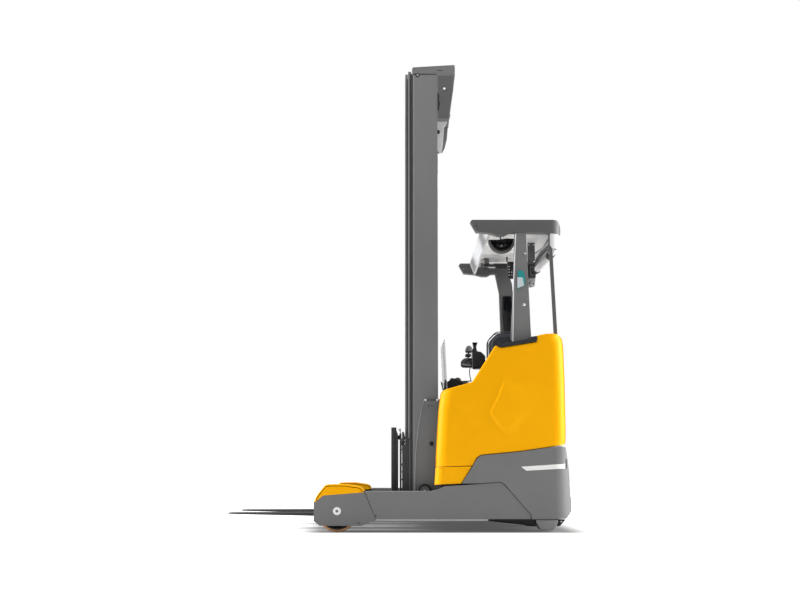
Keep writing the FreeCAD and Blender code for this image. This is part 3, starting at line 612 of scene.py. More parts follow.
# Ground shaft steel: bright, with fine marks round or along it.
GROUND = Finish("ground_bright_steel", "#C9CACB", 0.24, metallic=1.0, grain_mm=2.5, grain_depth=0.03,
    mottle=0.05, stretch=(1.0, 1.0, 0.15))
ZINC = Finish("zinc_plated_steel", "#B9BBBC", 0.36, metallic=1.0, grain_mm=3.0, grain_depth=0.03,
    mottle_mm=25.0, mottle=0.1)
CHROME = Finish("hard_chrome_on_steel", "#D9DADB", 0.12, metallic=1.0, grain_mm=4.0, grain_depth=0.01,
    mottle=0.02)
# Moulded ABS and PP trim with a pebbled tool texture, drawn at 2 mm where the real pebbles are finer.
TRIM = Moulded("black_moulded_abs", "#232427", 0.48, grain_mm=2.2, grain_depth=0.12, mottle=0.06,
    edge_wear_and_highlight=0.2)
SOFT_TRIM = Moulded("charcoal_moulded_polypropylene", "#34363A", 0.58, grain_mm=2.6, grain_depth=0.16,
    mottle=0.06, edge_wear_and_highlight=0.15)
GLOSS = Finish("gloss_black_polycarbonate", "#101113", 0.12, coat=0.4, grain_mm=20.0, grain_depth=0.01,
    mottle=0.1)
# Cast polyurethane tread: waxy amber with scuffs.
TREAD = Finish("cast_polyurethane_tread", "#CE9763", 0.42, ior=1.48, grain_mm=5.0, grain_depth=0.2,
    mottle_mm=40.0, mottle=0.12)
DARK_TREAD = Finish("dark_cast_polyurethane_tread", "#3A322C", 0.5, ior=1.48, grain_mm=5.0, grain_depth=0.2,
    mottle_mm=40.0, mottle=0.12)
# Cast iron hub under black paint: open sandy grain.
CAST = Finish("black_painted_cast_iron", "#222224", 0.6, grain_mm=3.5, grain_depth=0.35, mottle=0.1,
    edge_wear_and_highlight=0.4)
# Hydraulic hose: black synthetic rubber with a wrapped cover.
HOSE = Finish("black_synthetic_rubber", "#1A1A1B", 0.62, grain_mm=2.0, grain_depth=0.12, mottle=0.08)
# Seat cloth: charcoal polyester, threads drawn at 3 mm where the real ones are half that.
CLOTH = Woven("charcoal_woven_polyester", "#414349", 0.86, grain_mm=3.0, grain_depth=0.35, mottle_mm=60.0,
    mottle=0.12)
LEATHERETTE = Finish("grey_leatherette", "#4A4C50", 0.55, grain_mm=2.4, grain_depth=0.14, mottle=0.08)
CLEAR = Sheet("clear_polycarbonate_sheet", "#D3D6D8", 0.12, ior=1.58, coat=0.1, grain_mm=60.0,
    grain_depth=0.02, mottle=0.01, clear=0.45)
ROOF = Sheet("frosted_polycarbonate_sheet", "#F2F3F4", 0.3, ior=1.58, grain_mm=30.0, grain_depth=0.03,
    mottle=0.01, clear=0.12)
# Painted highlights: pale grey along rail and plate edges, and paler grey for the white floor's reflection
# on the arms' foot strips and pods.
HIGHLIGHT_GREY = Finish("light_grey_painted_highlight_edge", "#8A8A8B", 0.4, grain_mm=6.0, grain_depth=0.05, mottle=0.06,
    edge_wear_and_highlight=0.2)
FLOOR_REFLECTION_GREY = Finish("pale_grey_painted_floor_reflection", "#A2A2A3", 0.38, grain_mm=6.0, grain_depth=0.05, mottle=0.06,
    edge_wear_and_highlight=0.2)
# Grease and painted shade: near black with a soft gloss, down the rails and in the yoke's slots and
# recesses.
GREASE_AND_SHADE = Finish("greased_steel_track_with_painted_shade", "#2A2A2B", 0.42, grain_mm=7.0, grain_depth=0.05, mottle_mm=70.0,
    mottle=0.15)
# Oiled leaf chain: dark steel plates with edges bright as rubbed wear and painted highlight.
CHAIN = Finish("oiled_leaf_chain_steel", "#4A4A4B", 0.38, metallic=0.8, grain_mm=4.0, grain_depth=0.08,
    mottle=0.12, edge_wear_and_highlight=0.5)
WHITE = Finish("white_powder_coat_on_steel", "#E4E5E6", 0.4, grain_mm=9.0, grain_depth=0.05, mottle=0.03,
    edge_wear_and_highlight=0.1)
# Paler satin paint on thin pressings, made lighter still as painted light for the studio's white that they
# catch.
PALE_AND_LIT_GREY = Finish("light_grey_paint_with_painted_light", "#CFD0D2", 0.38, grain_mm=9.0, grain_depth=0.05,
    mottle=0.03, edge_wear_and_highlight=0.1)
# Blank coloured and plain plates: printed film, glossier than the paint under it.
TEAL = Finish("teal_polyester_film", "#1F8C8A", 0.25, coat=0.2, grain_mm=12.0, grain_depth=0.02,
    mottle=0.04)
PLATE = Finish("silver_grey_polyester_film", "#BFC9CF", 0.3, coat=0.2, grain_mm=12.0, grain_depth=0.02,
    mottle=0.05)
# Battery tray paint under handling scuffs.
TRAY = Finish("charcoal_paint_on_welded_steel", "#2C2D30", 0.55, grain_mm=6.0, grain_depth=0.12,
    mottle_mm=120.0, mottle=0.12, edge_wear_and_highlight=0.5)
# Micro-prism tape: near white, glinting cells drawn at 5 mm where the real ones are 2 mm.
REFLECTOR = Moulded("reflective_tape", "#E6E6E4", 0.28, grain_mm=5.0, grain_depth=0.2, mottle=0.03,
    coat=0.4)
LENS = Finish("red_acrylic_lens", "#9C1410", 0.15, ior=1.49, coat=0.5, grain_mm=8.0, grain_depth=0.25,
    mottle=0.05)


class Workshop:
    """Builds each material once and turns shells into finished objects."""

    def __init__(self) -> None:
        """Starts with no materials made."""
        self.materials: dict = {}

    def material(self, finish: Finish) -> bpy.types.Material:
        """The finish's material, made at its first use."""
        if finish.name not in self.materials:
            self.materials[finish.name] = finish.build()
        return self.materials[finish.name]

    def make(self, name: str, body: str, shells: Iterable[Shell], finishes: Sequence[Finish],
            replaces: Sequence[str] = (), smooth: float = 40.0) -> bpy.types.Object:
        """Joins shells into one finished object that rides on a body.

        Args:
            name: object name.
            body: body that it moves with.
            shells: the pieces, in millimetres.
            finishes: finishes that the shells' numbers point at.
            replaces: nodes that it stands for.
            smooth: edges sharper than this many degrees stay sharp.
        Returns:
            The object, at the origin, unturned.
        """
        points, faces, numbers, start = [], [], [], 0
        for part in shells:
            points.append(part.points)
            faces += [[index + start for index in face] for face in part.faces]
            numbers += [part.finish] * len(part.faces)
            start += len(part.points)
        mesh = bpy.data.meshes.new(name)
        mesh.from_pydata((np.concatenate(points) * MM).tolist(), [], faces)
        mesh.polygons.foreach_set("material_index", np.array(numbers, np.int32))
        for finish in finishes:
            mesh.materials.append(self.material(finish))
        mesh.shade_smooth()
        mesh.set_sharp_from_angle(angle=math.radians(smooth))
        item = linked(name, mesh)
        weigh(item)
        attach(item, body)
        if replaces:
            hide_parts(*replaces)
        LOG.info("%s: %d faces on %s", name, len(faces), body)
        return item

    def dress(self, node: str, finish: Finish, edge: float = 2.0) -> None:
        """Gives a node its finish, and rounds its edges with modifiers.

        Args:
            node: node's name.
            finish: its finish.
            edge: radius of the rounded edges, in millimetres.
        """
        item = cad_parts[node]
        item.data.materials.clear()
        item.data.materials.append(self.material(finish))
        if "custom_normal" in item.data.attributes:
            item.data.attributes.remove(item.data.attributes["custom_normal"])
        item.data.shade_smooth()
        weld = item.modifiers.new("weld", "WELD")
        weld.merge_threshold = 0.02 * MM
        flat = item.modifiers.new("flat", "DECIMATE")
        flat.decimate_type = "DISSOLVE"
        flat.angle_limit = math.radians(0.6)
        if edge > 0:
            bevel = item.modifiers.new("edges", "BEVEL")
            bevel.width = edge * MM
            bevel.segments = 2
            bevel.limit_method = "ANGLE"
            bevel.angle_limit = math.radians(32)
            bevel.harden_normals = False
        weigh(item)
        LOG.info("%s dressed in %s", node, finish.name)


def weigh(item: bpy.types.Object) -> None:
    """Normals weighted by face area, so that flat faces stay flat beside rounded edges."""
    weighted = item.modifiers.new("normals", "WEIGHTED_NORMAL")
    weighted.keep_sharp = True
    weighted.weight = 80


SHOP = Workshop()


# ---- studio

@dataclass
class Studio:
    """Pale floor with a painted shadow under the truck, white surroundings, soft lamps and the camera."""

    camera_at: tuple = (0.0565, -5.706, 0.3948)
    camera_pitch: float = 3.369
    lens_mm: float = 33.71
    sensor_mm: float = 36.0
    shift: tuple = (-0.005, 0.162)
    floor_size: float = 60.0
    surround: float = 0.48
    # Where the painted shadow under the truck lies on the floor, and how deep it is.
    footprint_middle: tuple = (0.33, 0.0, 0.0)
    footprint_half: tuple = (0.8, 0.56, 1.0)
    fade: float = 0.36
    glow: float = 0.7
    painted_shadow_tone: float = 0.28
    painted_shadow_glow: float = 0.085
    left_watts: float = 440
    right_watts: float = 400
    overhead_watts: float = 132
    side_size: tuple = (2.0, 4.5)
    overhead_size: tuple = (4.0, 3.0)

    def seen(self, tree: Tree) -> Socket:
        """One for camera, glossy and transmission rays, nought for the rays that light the truck."""
        path = add(tree, "LightPath")
        first = add(tree, "Math", {"operation": "MAXIMUM"}, {0: path.outputs["Is Camera Ray"],
            1: path.outputs["Is Glossy Ray"]})
        joined = add(tree, "Math", {"operation": "MAXIMUM"},
            {0: first, 1: path.outputs["Is Transmission Ray"]})
        return joined.outputs["Value"]

    def surroundings(self) -> None:
        """White world for the eye and for gloss, and a softer one for its light."""
        world = bpy.data.worlds.new("studio")
        bpy.context.scene.world = world
        tree = emptied(world)
        path = add(tree, "LightPath")
        direct = add(tree, "Math", {"operation": "MAXIMUM"}, {0: path.outputs["Is Camera Ray"],
            1: path.outputs["Is Transmission Ray"]})
        level = add(tree, "MapRange", {"To Min": self.surround, "To Max": 1.0}, {"Value": direct})
        back = add(tree, "Background", {"Color": (1.0, 1.0, 1.0, 1.0)}, {"Strength": level})
        add(tree, "OutputWorld", {}, {"Surface": back})

    def floor(self) -> None:
        """Matt floor that keeps the truck's soft shadow, deepened by a painted shadow under the truck, and
        shows white away from it.
        """
        half = self.floor_size / 2
        mesh = bpy.data.meshes.new("studio_floor")
        mesh.from_pydata([(-half, -half, 0), (half, -half, 0), (half, half, 0), (-half, half, 0)], [],
            [(0, 1, 2, 3)])
        material = bpy.data.materials.new("matt_studio_floor")
        tree = emptied(material)
        speckle = add(tree, "TexNoise", {"Scale": 40.0})
        tone = add(tree, "Mix", {"data_type": "RGBA", 6: linear("#E6E6E6"), 7: linear("#ECECEC")},
            {0: speckle})
        # Painted shadow: the floor's colour and glow are turned down inside the truck's footprint.
        outside = self.outside(tree)
        shaded = add(tree, "MapRange", {"To Min": self.painted_shadow_tone, "To Max": 1.0}, {"Value": outside})
        under = add(tree, "VectorMath", {"operation": "SCALE"}, {0: tone.outputs[2], "Scale": shaded})
        matt = add(tree, "BsdfDiffuse", {}, {"Color": under})
        lifted = add(tree, "MapRange", {"To Min": self.painted_shadow_glow, "To Max": self.glow}, {"Value": outside})
        shown = add(tree, "Math", {"operation": "MULTIPLY"}, {0: lifted, 1: self.seen(tree)})
        glow = add(tree, "Emission", {"Color": (1.0, 1.0, 1.0, 1.0)}, {"Strength": shown})
        lit = add(tree, "AddShader", {}, {0: matt, 1: glow})
        add(tree, "OutputMaterial", {}, {"Surface": lit})
        mesh.materials.append(material)
        item = linked("studio_floor", mesh)

    def outside(self, tree: Tree) -> Socket:
        """How far a place on the floor is outside the truck's footprint, from 0 to 1: the painted shadow's
        mask.

        Args:
            tree: the floor's node tree.
        Returns:
            Smooth step of the distance: the length of how far the absolute offset from the footprint's
            middle passes its half size.
        """
        place = add(tree, "TexCoord").outputs["Object"]
        offset = add(tree, "VectorMath", {"operation": "SUBTRACT", 1: self.footprint_middle}, {0: place})
        size = add(tree, "VectorMath", {"operation": "ABSOLUTE"}, {0: offset})
        past = add(tree, "VectorMath", {"operation": "SUBTRACT", 1: self.footprint_half}, {0: size})
        out = add(tree, "VectorMath", {"operation": "MAXIMUM", 1: (0.0, 0.0, 0.0)}, {0: past})
        gap = add(tree, "VectorMath", {"operation": "LENGTH"}, {0: out})
        level = add(tree, "MapRange", {"interpolation_type": "SMOOTHSTEP", "From Max": self.fade},
            {"Value": gap.outputs["Value"]})
        return level.outputs["Result"]

    def lamp(self, name: str, power: float, size: tuple, at: tuple, towards: tuple) -> None:
        """Soft rectangular lamp.

        Args:
            name: object name.
            power: watts.
            size: width and height in metres.
            at: place in metres.
            towards: point that it faces.
        """
        data = bpy.data.lights.new(name, "AREA")
        data.shape = "RECTANGLE"
        data.energy = power
        data.size, data.size_y = size
        item = linked(name, data)
        aim = np.array(towards, float) - np.array(at, float)
        pitch = math.atan2(float(np.hypot(aim[0], aim[1])), -float(aim[2]))
        item.location = at
        item.rotation_euler = (pitch, 0, math.atan2(float(aim[1]), float(aim[0])) - math.pi / 2)

    def camera(self) -> None:
        """Camera at the near side, low and pitched a little up."""
        data = bpy.data.cameras.new("studio_camera")
        data.lens = self.lens_mm
        data.sensor_width = self.sensor_mm
        data.shift_x, data.shift_y = self.shift
        data.clip_end = 100
        item = linked("studio_camera", data)
        item.location = self.camera_at
        item.rotation_euler = (math.radians(90 + self.camera_pitch), 0, 0)
        bpy.context.scene.camera = item

    def build(self) -> None:
        """Camera first, then the surroundings, the floor and the lamps."""
        bpy.context.scene.view_settings.view_transform = "Standard"
        self.camera()
        self.surroundings()
        self.floor()
        self.lamp("left_window", self.left_watts, self.side_size, (-5.2, -0.6, 2.4), (0.2, 0, 1.2))
        self.lamp("right_window", self.right_watts, self.side_size, (5.2, -0.6, 2.4), (0.2, 0, 1.2))
        self.lamp("overhead_window", self.overhead_watts, self.overhead_size, (0.2, -0.4, 5.6), (0.2, 0, 0))
        LOG.info("studio ready")


# Finishes of the nodes that stay as they are; the arms, caps, cover and yoke keep the grey.
# The guard, far pillar and rods take the grey painted darker as painted shade.
NODE_FINISH = {"chassis_frame": FORGED, "lift_carriage": FORGED, "side_shift_frame": FORGED,
    "fork_frame": FORGED, "drive_turret": CAST, "battery_hood": TRIM, "cab_floor": TRIM,
    "near_pillar": PILLAR, "reach_carriage": PILLAR, "far_pillar": SHADED_GREY, "rear_rods": SHADED_GREY,
    "guard_frame": SHADED_GREY, "outer_mast": RAIL, "middle_mast": RAIL, "inner_mast": RAIL,
    "free_lift_rod": CHROME}


# ---- body panels

def nearest(points: np.ndarray, line: np.ndarray) -> tuple:
    """Distance from points to a line of runs.

    Args:
        points: places by two.
        line: the line's points by two.
    Returns:
        The distance to the nearest run, with its sign from the side of that run, and the share of
        the line's length at the foot of the perpendicular.
    """
    a, run = line[:-1], np.diff(line, axis=0)
    length = np.linalg.norm(run, axis=1)
    share = np.clip(((points[:, None] - a) * run).sum(-1) / length ** 2, 0, 1)
    gap = points[:, None] - (a + share[..., None] * run)
    size = np.linalg.norm(gap, axis=-1)
    best = size.argmin(axis=1)
    row = np.arange(len(points))
    side = np.sign(run[best, 0] * gap[row, best, 1] - run[best, 1] * gap[row, best, 0])
    start = np.concatenate([[0], np.cumsum(length)])
    along = (start[best] + share[row, best] * length[best]) / start[-1]
    return size[row, best] * np.where(side == 0, 1, side), along


def smooth_step(value: np.ndarray) -> np.ndarray:
    """Nought below nought, one above one, and three squares less two cubes between."""
    t = np.clip(value, 0, 1)
    return t * t * (3 - 2 * t)


@dataclass
class Panel:
    """Pressed panel: a Coons patch inside its outline, rounded over along each border."""

    outline: list
    quarters: tuple
    radii: tuple
    thickness: float = 56.0
    count: tuple = (60, 60)
    shares: tuple = (0.07, 0.02)
    relief: Optional[Callable] = None

    def shell(self) -> Shell:
        """Panel in its own plan: first and second coordinates in the plan, third outwards from its back.

        Returns:
            Grid of the patch. The drop at each border is radius times one less the root of one less the
            square of how far inside the radius the point lies, and the four drops join as a cube sum.
        """
        line = rounded(self.outline, 10)
        starts = [int(np.linalg.norm(line - np.array(spot), axis=1).argmin()) for spot in self.quarters]
        loop = np.concatenate([line, line])
        borders = []
        for k in range(4):
            first, last = starts[k], starts[(k + 1) % 4]
            borders.append(loop[first:(last if last > first else last + len(line)) + 1])
        bottom, right, top, left = borders
        u = spread(self.count[0], self.shares[0], self.shares[0], 9)
        v = spread(self.count[1], self.shares[1], self.shares[1], 6)
        grid = coons(bottom, top[::-1], left[::-1], right, u, v)
        flat = grid.reshape(-1, 2)
        drop = np.zeros(len(flat))
        for border, radius in zip(borders, self.radii):
            inside = np.clip(1 - np.abs(nearest(flat, border)[0]) / radius, 0, 1)
            drop += (radius * (1 - np.sqrt(1 - inside ** 2))) ** 3
        height = self.thickness - np.cbrt(drop)
        if self.relief:
            height = height + self.relief(flat)
        front = np.column_stack([flat, np.maximum(height, 1.0)])
        rows, columns = len(v), len(u)
        rim = rim_of(rows, columns)
        back = np.column_stack([front[rim, :2], np.zeros(len(rim))])
        faces = quads(rows, columns, close_columns=False)
        n = len(rim)
        behind = rows * columns + np.arange(n)
        faces += np.stack([rim, behind, np.roll(behind, -1), np.roll(rim, -1)], axis=1).tolist()
        faces.append(behind[::-1].tolist())
        return outward(np.concatenate([front, back]), faces)


def stand(part: Shell, axis: Axis, sign: int, back: float) -> Shell:
    """Panel put in place: its third coordinate goes outwards along an axis from its back plane."""
    p = part.points
    across = sign * p[:, 2] + back
    if axis is Y:
        return Shell(np.column_stack([p[:, 0], across, p[:, 1]]), part.faces if sign < 0
            else [face[::-1] for face in part.faces], part.finish)
    return Shell(np.column_stack([across, p[:, 0], p[:, 1]]), part.faces if sign > 0
        else [face[::-1] for face in part.faces], part.finish)


def along_path(line: Points, value: np.ndarray) -> np.ndarray:
    """Second coordinate of a line at values of its first."""
    points = np.asarray(line, float)
    order = np.argsort(points[:, 0])
    return np.interp(value, points[order, 0], points[order, 1])


@dataclass
class BodyPanels:
    """Yellow side panels, the pieces below them, the rear wall and the black edge trim."""

    side: float = 635.0
    inside: float = 579.0
    soft_edge: float = 52.0
    crisp_edge: float = 11.0
    seam_edge: float = 4.0
    emboss: float = 9.0
    ridge: tuple = ((745, 1070), (690, 920), (652, 852), (633, 819), (645, 785), (672, 740), (724, 679),
        (775, 628))
    back: tuple = ((847, 146), (889, 153, 25), (892, 249), (889, 590), (882, 831), (871, 898, 40),
        (817, 914, 50), (757, 913), (694, 900), (692, 856))
    nose: tuple = ((233, 575), (37, 520, 42), (19, 386), (1, 80))

    def placed(self, plan: Points) -> list:
        """Outline from points measured from the near panel's low corner."""
        x, z = self.corner()[[0, 2]]
        return [(x + p[0], z + p[1]) + tuple(p[2:]) for p in plan]

    def corner(self) -> np.ndarray:
        """Low corner of the near panel, in millimetres."""
        return limits("near_side_panel")[0]

    def embossed(self, flat: np.ndarray) -> np.ndarray:
        """Raised field behind the arrow line: a step that widens down the line and fades to the rear."""
        gap, along = nearest(flat, np.array(self.ridge, float))
        width = 19 + 16 * smooth_step((along - 0.35) * 2.5)
        ends = smooth_step(along * 6) * smooth_step((1 - along) * 7)
        rise = smooth_step(gap / width) * (1 - smooth_step((gap - 60) / 260)) * ends
        return self.emboss * (rise - 1)

    def near(self) -> None:
        """Long near panel with its stepped top and raised field."""
        x, z = self.corner()[[0, 2]]
        plan = ((0, 0), (249, 9), (275, 60), (305, 81, 20), (569, 106)) + self.back
        plan += ((446, 815), (411, 833, 12), (250, 580)) + self.nose
        panel = Panel(self.placed(plan), ((x, z), (x + 889, z + 153), (x + 868, z + 905),
            (x + 40, z + 516)), (self.seam_edge, self.soft_edge + 26, self.crisp_edge, self.soft_edge + 26),
            count=(110, 110), shares=(0.09, 0.02), relief=self.embossed)
        part = stand(panel.shell(), Y, -1, -self.inside)
        SHOP.make("near_side_panel_skin", "chassis", [part], [YELLOW], ["near_side_panel"],
            50)

    def lower(self) -> None:
        """Piece below the seam on each side, narrowing to the rear."""
        x, z = self.corner()[[0, 2]]
        plan = ((-8, -121), (169, -114, 6), (244, 3), (0, -3))
        panel = Panel(self.placed(plan), ((x - 8, z - 121), (x + 169, z - 114), (x + 244, z + 3),
            (x, z - 3)), (self.crisp_edge, self.seam_edge, self.seam_edge, self.soft_edge), count=(24, 18),
            shares=(0.16, 0.04), thickness=self.side - self.inside - self.emboss + 3)
        part = stand(panel.shell(), Y, -1, -self.inside)
        SHOP.make("lower_panel_skins", "chassis", both([part]), [YELLOW], ["lower_panels"],
            50)

    def far(self) -> None:
        """Far side: the battery's panel in front of the doorway and the corner panel behind it."""
        x, z = self.corner()[[0, 2]]
        front = ((0, 0), (249, 9), (275, 60), (284, 68), (284, 543, 24), (233, 575, 20)) + self.nose[1:]
        panel = Panel(self.placed(front), ((x, z), (x + 284, z + 68), (x + 280, z + 548),
            (x + 40, z + 516)), (self.seam_edge, 16, self.crisp_edge, self.soft_edge), count=(26, 40),
            shares=(0.18, 0.03))
        part = stand(panel.shell(), Y, 1, self.inside)
        SHOP.make("far_front_panel_skin", "chassis", [part], [YELLOW], ["far_front_panel"],
            50)
        low = limits("far_rear_panel")[0]
        rear = [(low[0], low[2])] + self.placed(self.back) + [(low[0], z + 849, 20)]
        panel = Panel(rear, ((low[0], low[2]), (x + 889, z + 153), (x + 868, z + 905), (low[0], z + 846)),
            (self.seam_edge, self.soft_edge, self.crisp_edge, 24), count=(30, 60), shares=(0.2, 0.02))
        part = stand(panel.shell(), Y, 1, self.inside)
        SHOP.make("far_rear_panel_skin", "chassis", [part], [YELLOW], ["far_rear_panel"], 50)

    def rear_face(self, flat: np.ndarray) -> np.ndarray:
        """Rear wall's bulge and its shallow central field with soft edges."""
        bow = along_path([(584, 1119.5), (600, 1150), (690, 1164.5), (1031, 1161.5), (1272, 1154.5),
            (1346, 1122.5)], flat[:, 1])
        field_in = smooth_step((400 - np.abs(flat[:, 0])) / 40) * smooth_step((1230 - flat[:, 1]) / 40)
        field_in *= smooth_step((flat[:, 1] - 690) / 40)
        return bow - 1164.5 - 9 * field_in

    def rear(self) -> None:
        """Rear wall between the side panels, bowed to their line, with a recessed field and a grille."""
        low, high = limits("rear_wall")
        outline = [(low[1] + 0.5, low[2]), (high[1] - 0.5, low[2]), (high[1] - 0.5, high[2], 8),
            (low[1] + 0.5, high[2], 8)]
        panel = Panel(outline, ((low[1], low[2]), (high[1], low[2]), (high[1], high[2]), (low[1], high[2])),
            (8, 3, 26, 3), thickness=high[0] - low[0], count=(80, 60), shares=(0.01, 0.04),
            relief=self.rear_face)
        wall = stand(panel.shell(), X, 1, low[0])
        SHOP.make("rear_wall_skin", "chassis", [wall], [YELLOW], ["rear_wall"], 50)
        frame_x = 1151.0
        slats = [slab([(frame_x - 8, z), (frame_x + 3, z - 5, 1), (frame_x + 4, z + 1, 1),
            (frame_x - 6, z + 8)], Y, -250, 250, 0.8) for z in np.arange(756, 900, 17)]
        rim = [block((frame_x - 6, -266, 738), (frame_x + 5, -252, 920), 3, 4, X),
            block((frame_x - 6, 252, 738), (frame_x + 5, 266, 920), 3, 4, X),
            block((frame_x - 6, -266, 906), (frame_x + 5, 266, 920), 3, 4, X),
            block((frame_x - 6, -266, 738), (frame_x + 5, 266, 752), 3, 4, X),
            block((frame_x - 8, -254, 750), (frame_x - 3, 254, 908), 0.5, 0, X)]
        SHOP.make("rear_grille", "chassis", slats + rim, [TRIM])

    def trim(self) -> None:
        """Black stepped strip along the near panel's top edge at the pillar's foot."""
        x, z = self.corner()[[0, 2]]
        strip = [(x + 420, z + 830), (x + 446, z + 816), (x + 691, z + 857), (x + 693, z + 896, 4),
            (x + 652, z + 889, 4), (x + 648, z + 876), (x + 560, z + 862), (x + 440, z + 842)]
        SHOP.make("panel_edge_strip", "chassis", [slab(strip, Y, -self.side + 4,
            -self.inside + 8, 3)], [TRIM])

    def build(self) -> None:
        """All panels in order."""
        self.near()
        self.lower()
        self.far()
        self.rear()
        self.trim()


# ---- rear cover

@dataclass
class RearCover:
    """Dress of the grey cover: reflective stripe, catch, tail lamps and bumper rubber."""

    side: float = 635.0
    rear: float = 1204.5
    corner: float = 130.0
    proud: float = 0.3
    stripe_top: tuple = ((848.5, 442), (1150.7, 462))
    stripe_foot: tuple = ((848.5, 442), (883, 415), (1150.7, 430))

    def wrap(self, x: np.ndarray, out: float) -> np.ndarray:
        """Half width of the cover at a place along it: straight, then down its corner arc."""
        into = np.clip(x - (self.rear - self.corner), 0, self.corner - 1)
        return self.side - self.corner + np.sqrt((self.corner + out) ** 2 - into ** 2)

    def band(self, low: np.ndarray, high: np.ndarray, x: np.ndarray, out: float, finish: int) -> Shell:
        """Thin strip wrapped round the cover's side.

        Args:
            low: height of the lower edge at each place along.
            high: height of the upper edge.
            x: places along the truck.
            out: how far it stands off the cover.
            finish: finish number.
        Returns:
            Rings across the strip: two outer and two inner points at each place.
        """
        outer, inner = self.wrap(x, out), self.wrap(x, -2.0)
        ring = [np.column_stack([x, -y, z]) for y, z in ((outer, low), (outer, high), (inner, high),
            (inner, low))]
        return shell(np.stack(ring, axis=1), finish)

    def stripe(self) -> None:
        """Light stripe with an arrow-cut front end inside a grey line, on each side."""
        parts = []
        for finish, grow, out in ((1, 3.5, self.proud * 0.5), (0, 0.0, self.proud)):
            top = along_path(self.stripe_top, self.places(grow)) + grow
            foot = along_path(self.stripe_foot, self.places(grow) + grow) - grow
            parts.append(self.band(np.minimum(foot, top - 0.3), top, self.places(grow), out, finish))
        SHOP.make("reflective_stripes", "chassis", both(parts), [REFLECTOR, GREY])

    def places(self, grow: float) -> np.ndarray:
        """Places along the stripe, close together at its cut end, stretched by a margin at both ends."""
        first, last = self.stripe_top[0][0] - 1.4 * grow, self.stripe_top[1][0] + grow
        return np.concatenate([np.linspace(first, first + 40, 14)[:-1], np.linspace(first + 40, last, 30)])

    def latches(self) -> None:
        """Dark rounded catch behind the stripe on each side."""
        x = 1159.0
        y = float(self.wrap(np.array([x]), 0.0)[0])
        latch = slab([(x - 5, 430, 3), (x + 4, 430, 3), (x + 5, 495, 4), (x - 4, 495, 4)], Y,
            -y - 2, 8 - y, 2)
        SHOP.make("cover_catches", "chassis", both([latch]), [TRIM])

    def lamps(self) -> None:
        """Tail lamp on each side of the rear, as a lens in a dark rim."""
        parts = []
        for y in (-360, 360):
            parts.append(block((1172, y - 62, 392), (1188, y + 62, 440), 4, 14, X, 1))
            parts.append(block((1184, y - 54, 398), (1191, y + 54, 434), 3, 11, X, 0))
        SHOP.make("tail_lamps", "chassis", parts, [LENS, TRIM])

    def bumper(self) -> None:
        """Ribbed rubber bumper that follows the cover, with countersunk screws."""
        low, high = limits("rear_bumper")
        z = np.linspace(low[2] + 2, high[2] - 4, 90)
        out = along_path(((low[2], high[0] - 1), (low[2] + 8, high[0]), (214, high[0]), (high[2], 1201.5)),
            z)
        out = out - 2.6 * smooth_step((np.cos((z - low[2]) * 2 * math.pi / 22) + 0.2) * 2)
        back = along_path(((low[2], 1204.8), (218, 1204.8), (high[2], 1192.8)), z)
        outline = np.concatenate([np.column_stack([out, z]), np.column_stack([back, z])[::-1]])
        rubber = slab(outline, Y, low[1], high[1], 5)
        screws = [lathe([(8, -3), (8, -2.2), (5, -2.4), (4, -4)], X, (high[0], y, 172), 20, 1)
            for y in (-430, -150, 150, 430)]
        SHOP.make("bumper_rubber", "chassis", [rubber] + screws, [HOSE, ZINC],
            ["rear_bumper"], 50)

    def build(self) -> None:
        """Stripe, catches, lamps and bumper."""
        self.stripe()
        self.latches()
        self.lamps()
        self.bumper()


# ---- running gear

@dataclass
class Wheel:
    """Cast wheel with a bonded tread, turned about Y."""

    name: str
    body: str
    centre: tuple
    radius: float
    hub: float
    width: float
    bore: float
    studs: int
    tread: Finish

    def tyre(self) -> Shell:
        """Tread: a ring section with a slight crown and rounded shoulders."""
        half, r, h = self.width / 2, self.radius, self.hub
        section = [(h, -half), (r - 14, -half), (r - 6, -half + 2), (r - 1.5, -half + 9),
            (r - 0.4, -half * 0.5), (r, 0), (r - 0.4, half * 0.5), (r - 1.5, half - 9), (r - 6, half - 2),
            (r - 14, half), (h, half)]
        return lathe(section, Y, self.centre, 96, 0, ring=True)

    def casting(self) -> list:
        """Hub: a thick bore and rim joined by a thin web, with a ring of studs on both faces."""
        half, h, b = self.width / 2, self.hub, self.bore
        mid = (b + h) / 2
        section = [(b, -half + 1), (b + 20, -half + 1), (b + 24, -half + 6), (b + 27, -half * 0.35),
            (mid + 10, -half * 0.3), (h - 16, -half * 0.5), (h - 10, -half + 3), (h, -half + 1),
            (h, half - 1), (h - 10, half - 3), (h - 16, half * 0.5), (mid + 10, half * 0.3),
            (b + 27, half * 0.35), (b + 24, half - 6), (b + 20, half - 1), (b, half - 1)]
        parts = [lathe(section, Y, self.centre, 72, 0, ring=True)]
        turn = np.linspace(0, 2 * math.pi, self.studs, endpoint=False)
        for side in (-1, 1):
            spots = [(self.centre[0] + (mid + 8) * math.cos(a), self.centre[1] + side * half * 0.32,
                self.centre[2] + (mid + 8) * math.sin(a)) for a in turn]
            parts += bolts(spots, Y, side, 9, 1)
        return parts

    def build(self) -> None:
        """Tyre and hub, each in place of its node."""
        SHOP.make(self.name + "_tread", self.body,
            [self.tyre()], [self.tread], [self.name + "_tyre"], 35)
        SHOP.make(self.name + "_casting", self.body, self.casting(), [CAST, ZINC],
            [self.name + "_hub"], 30)


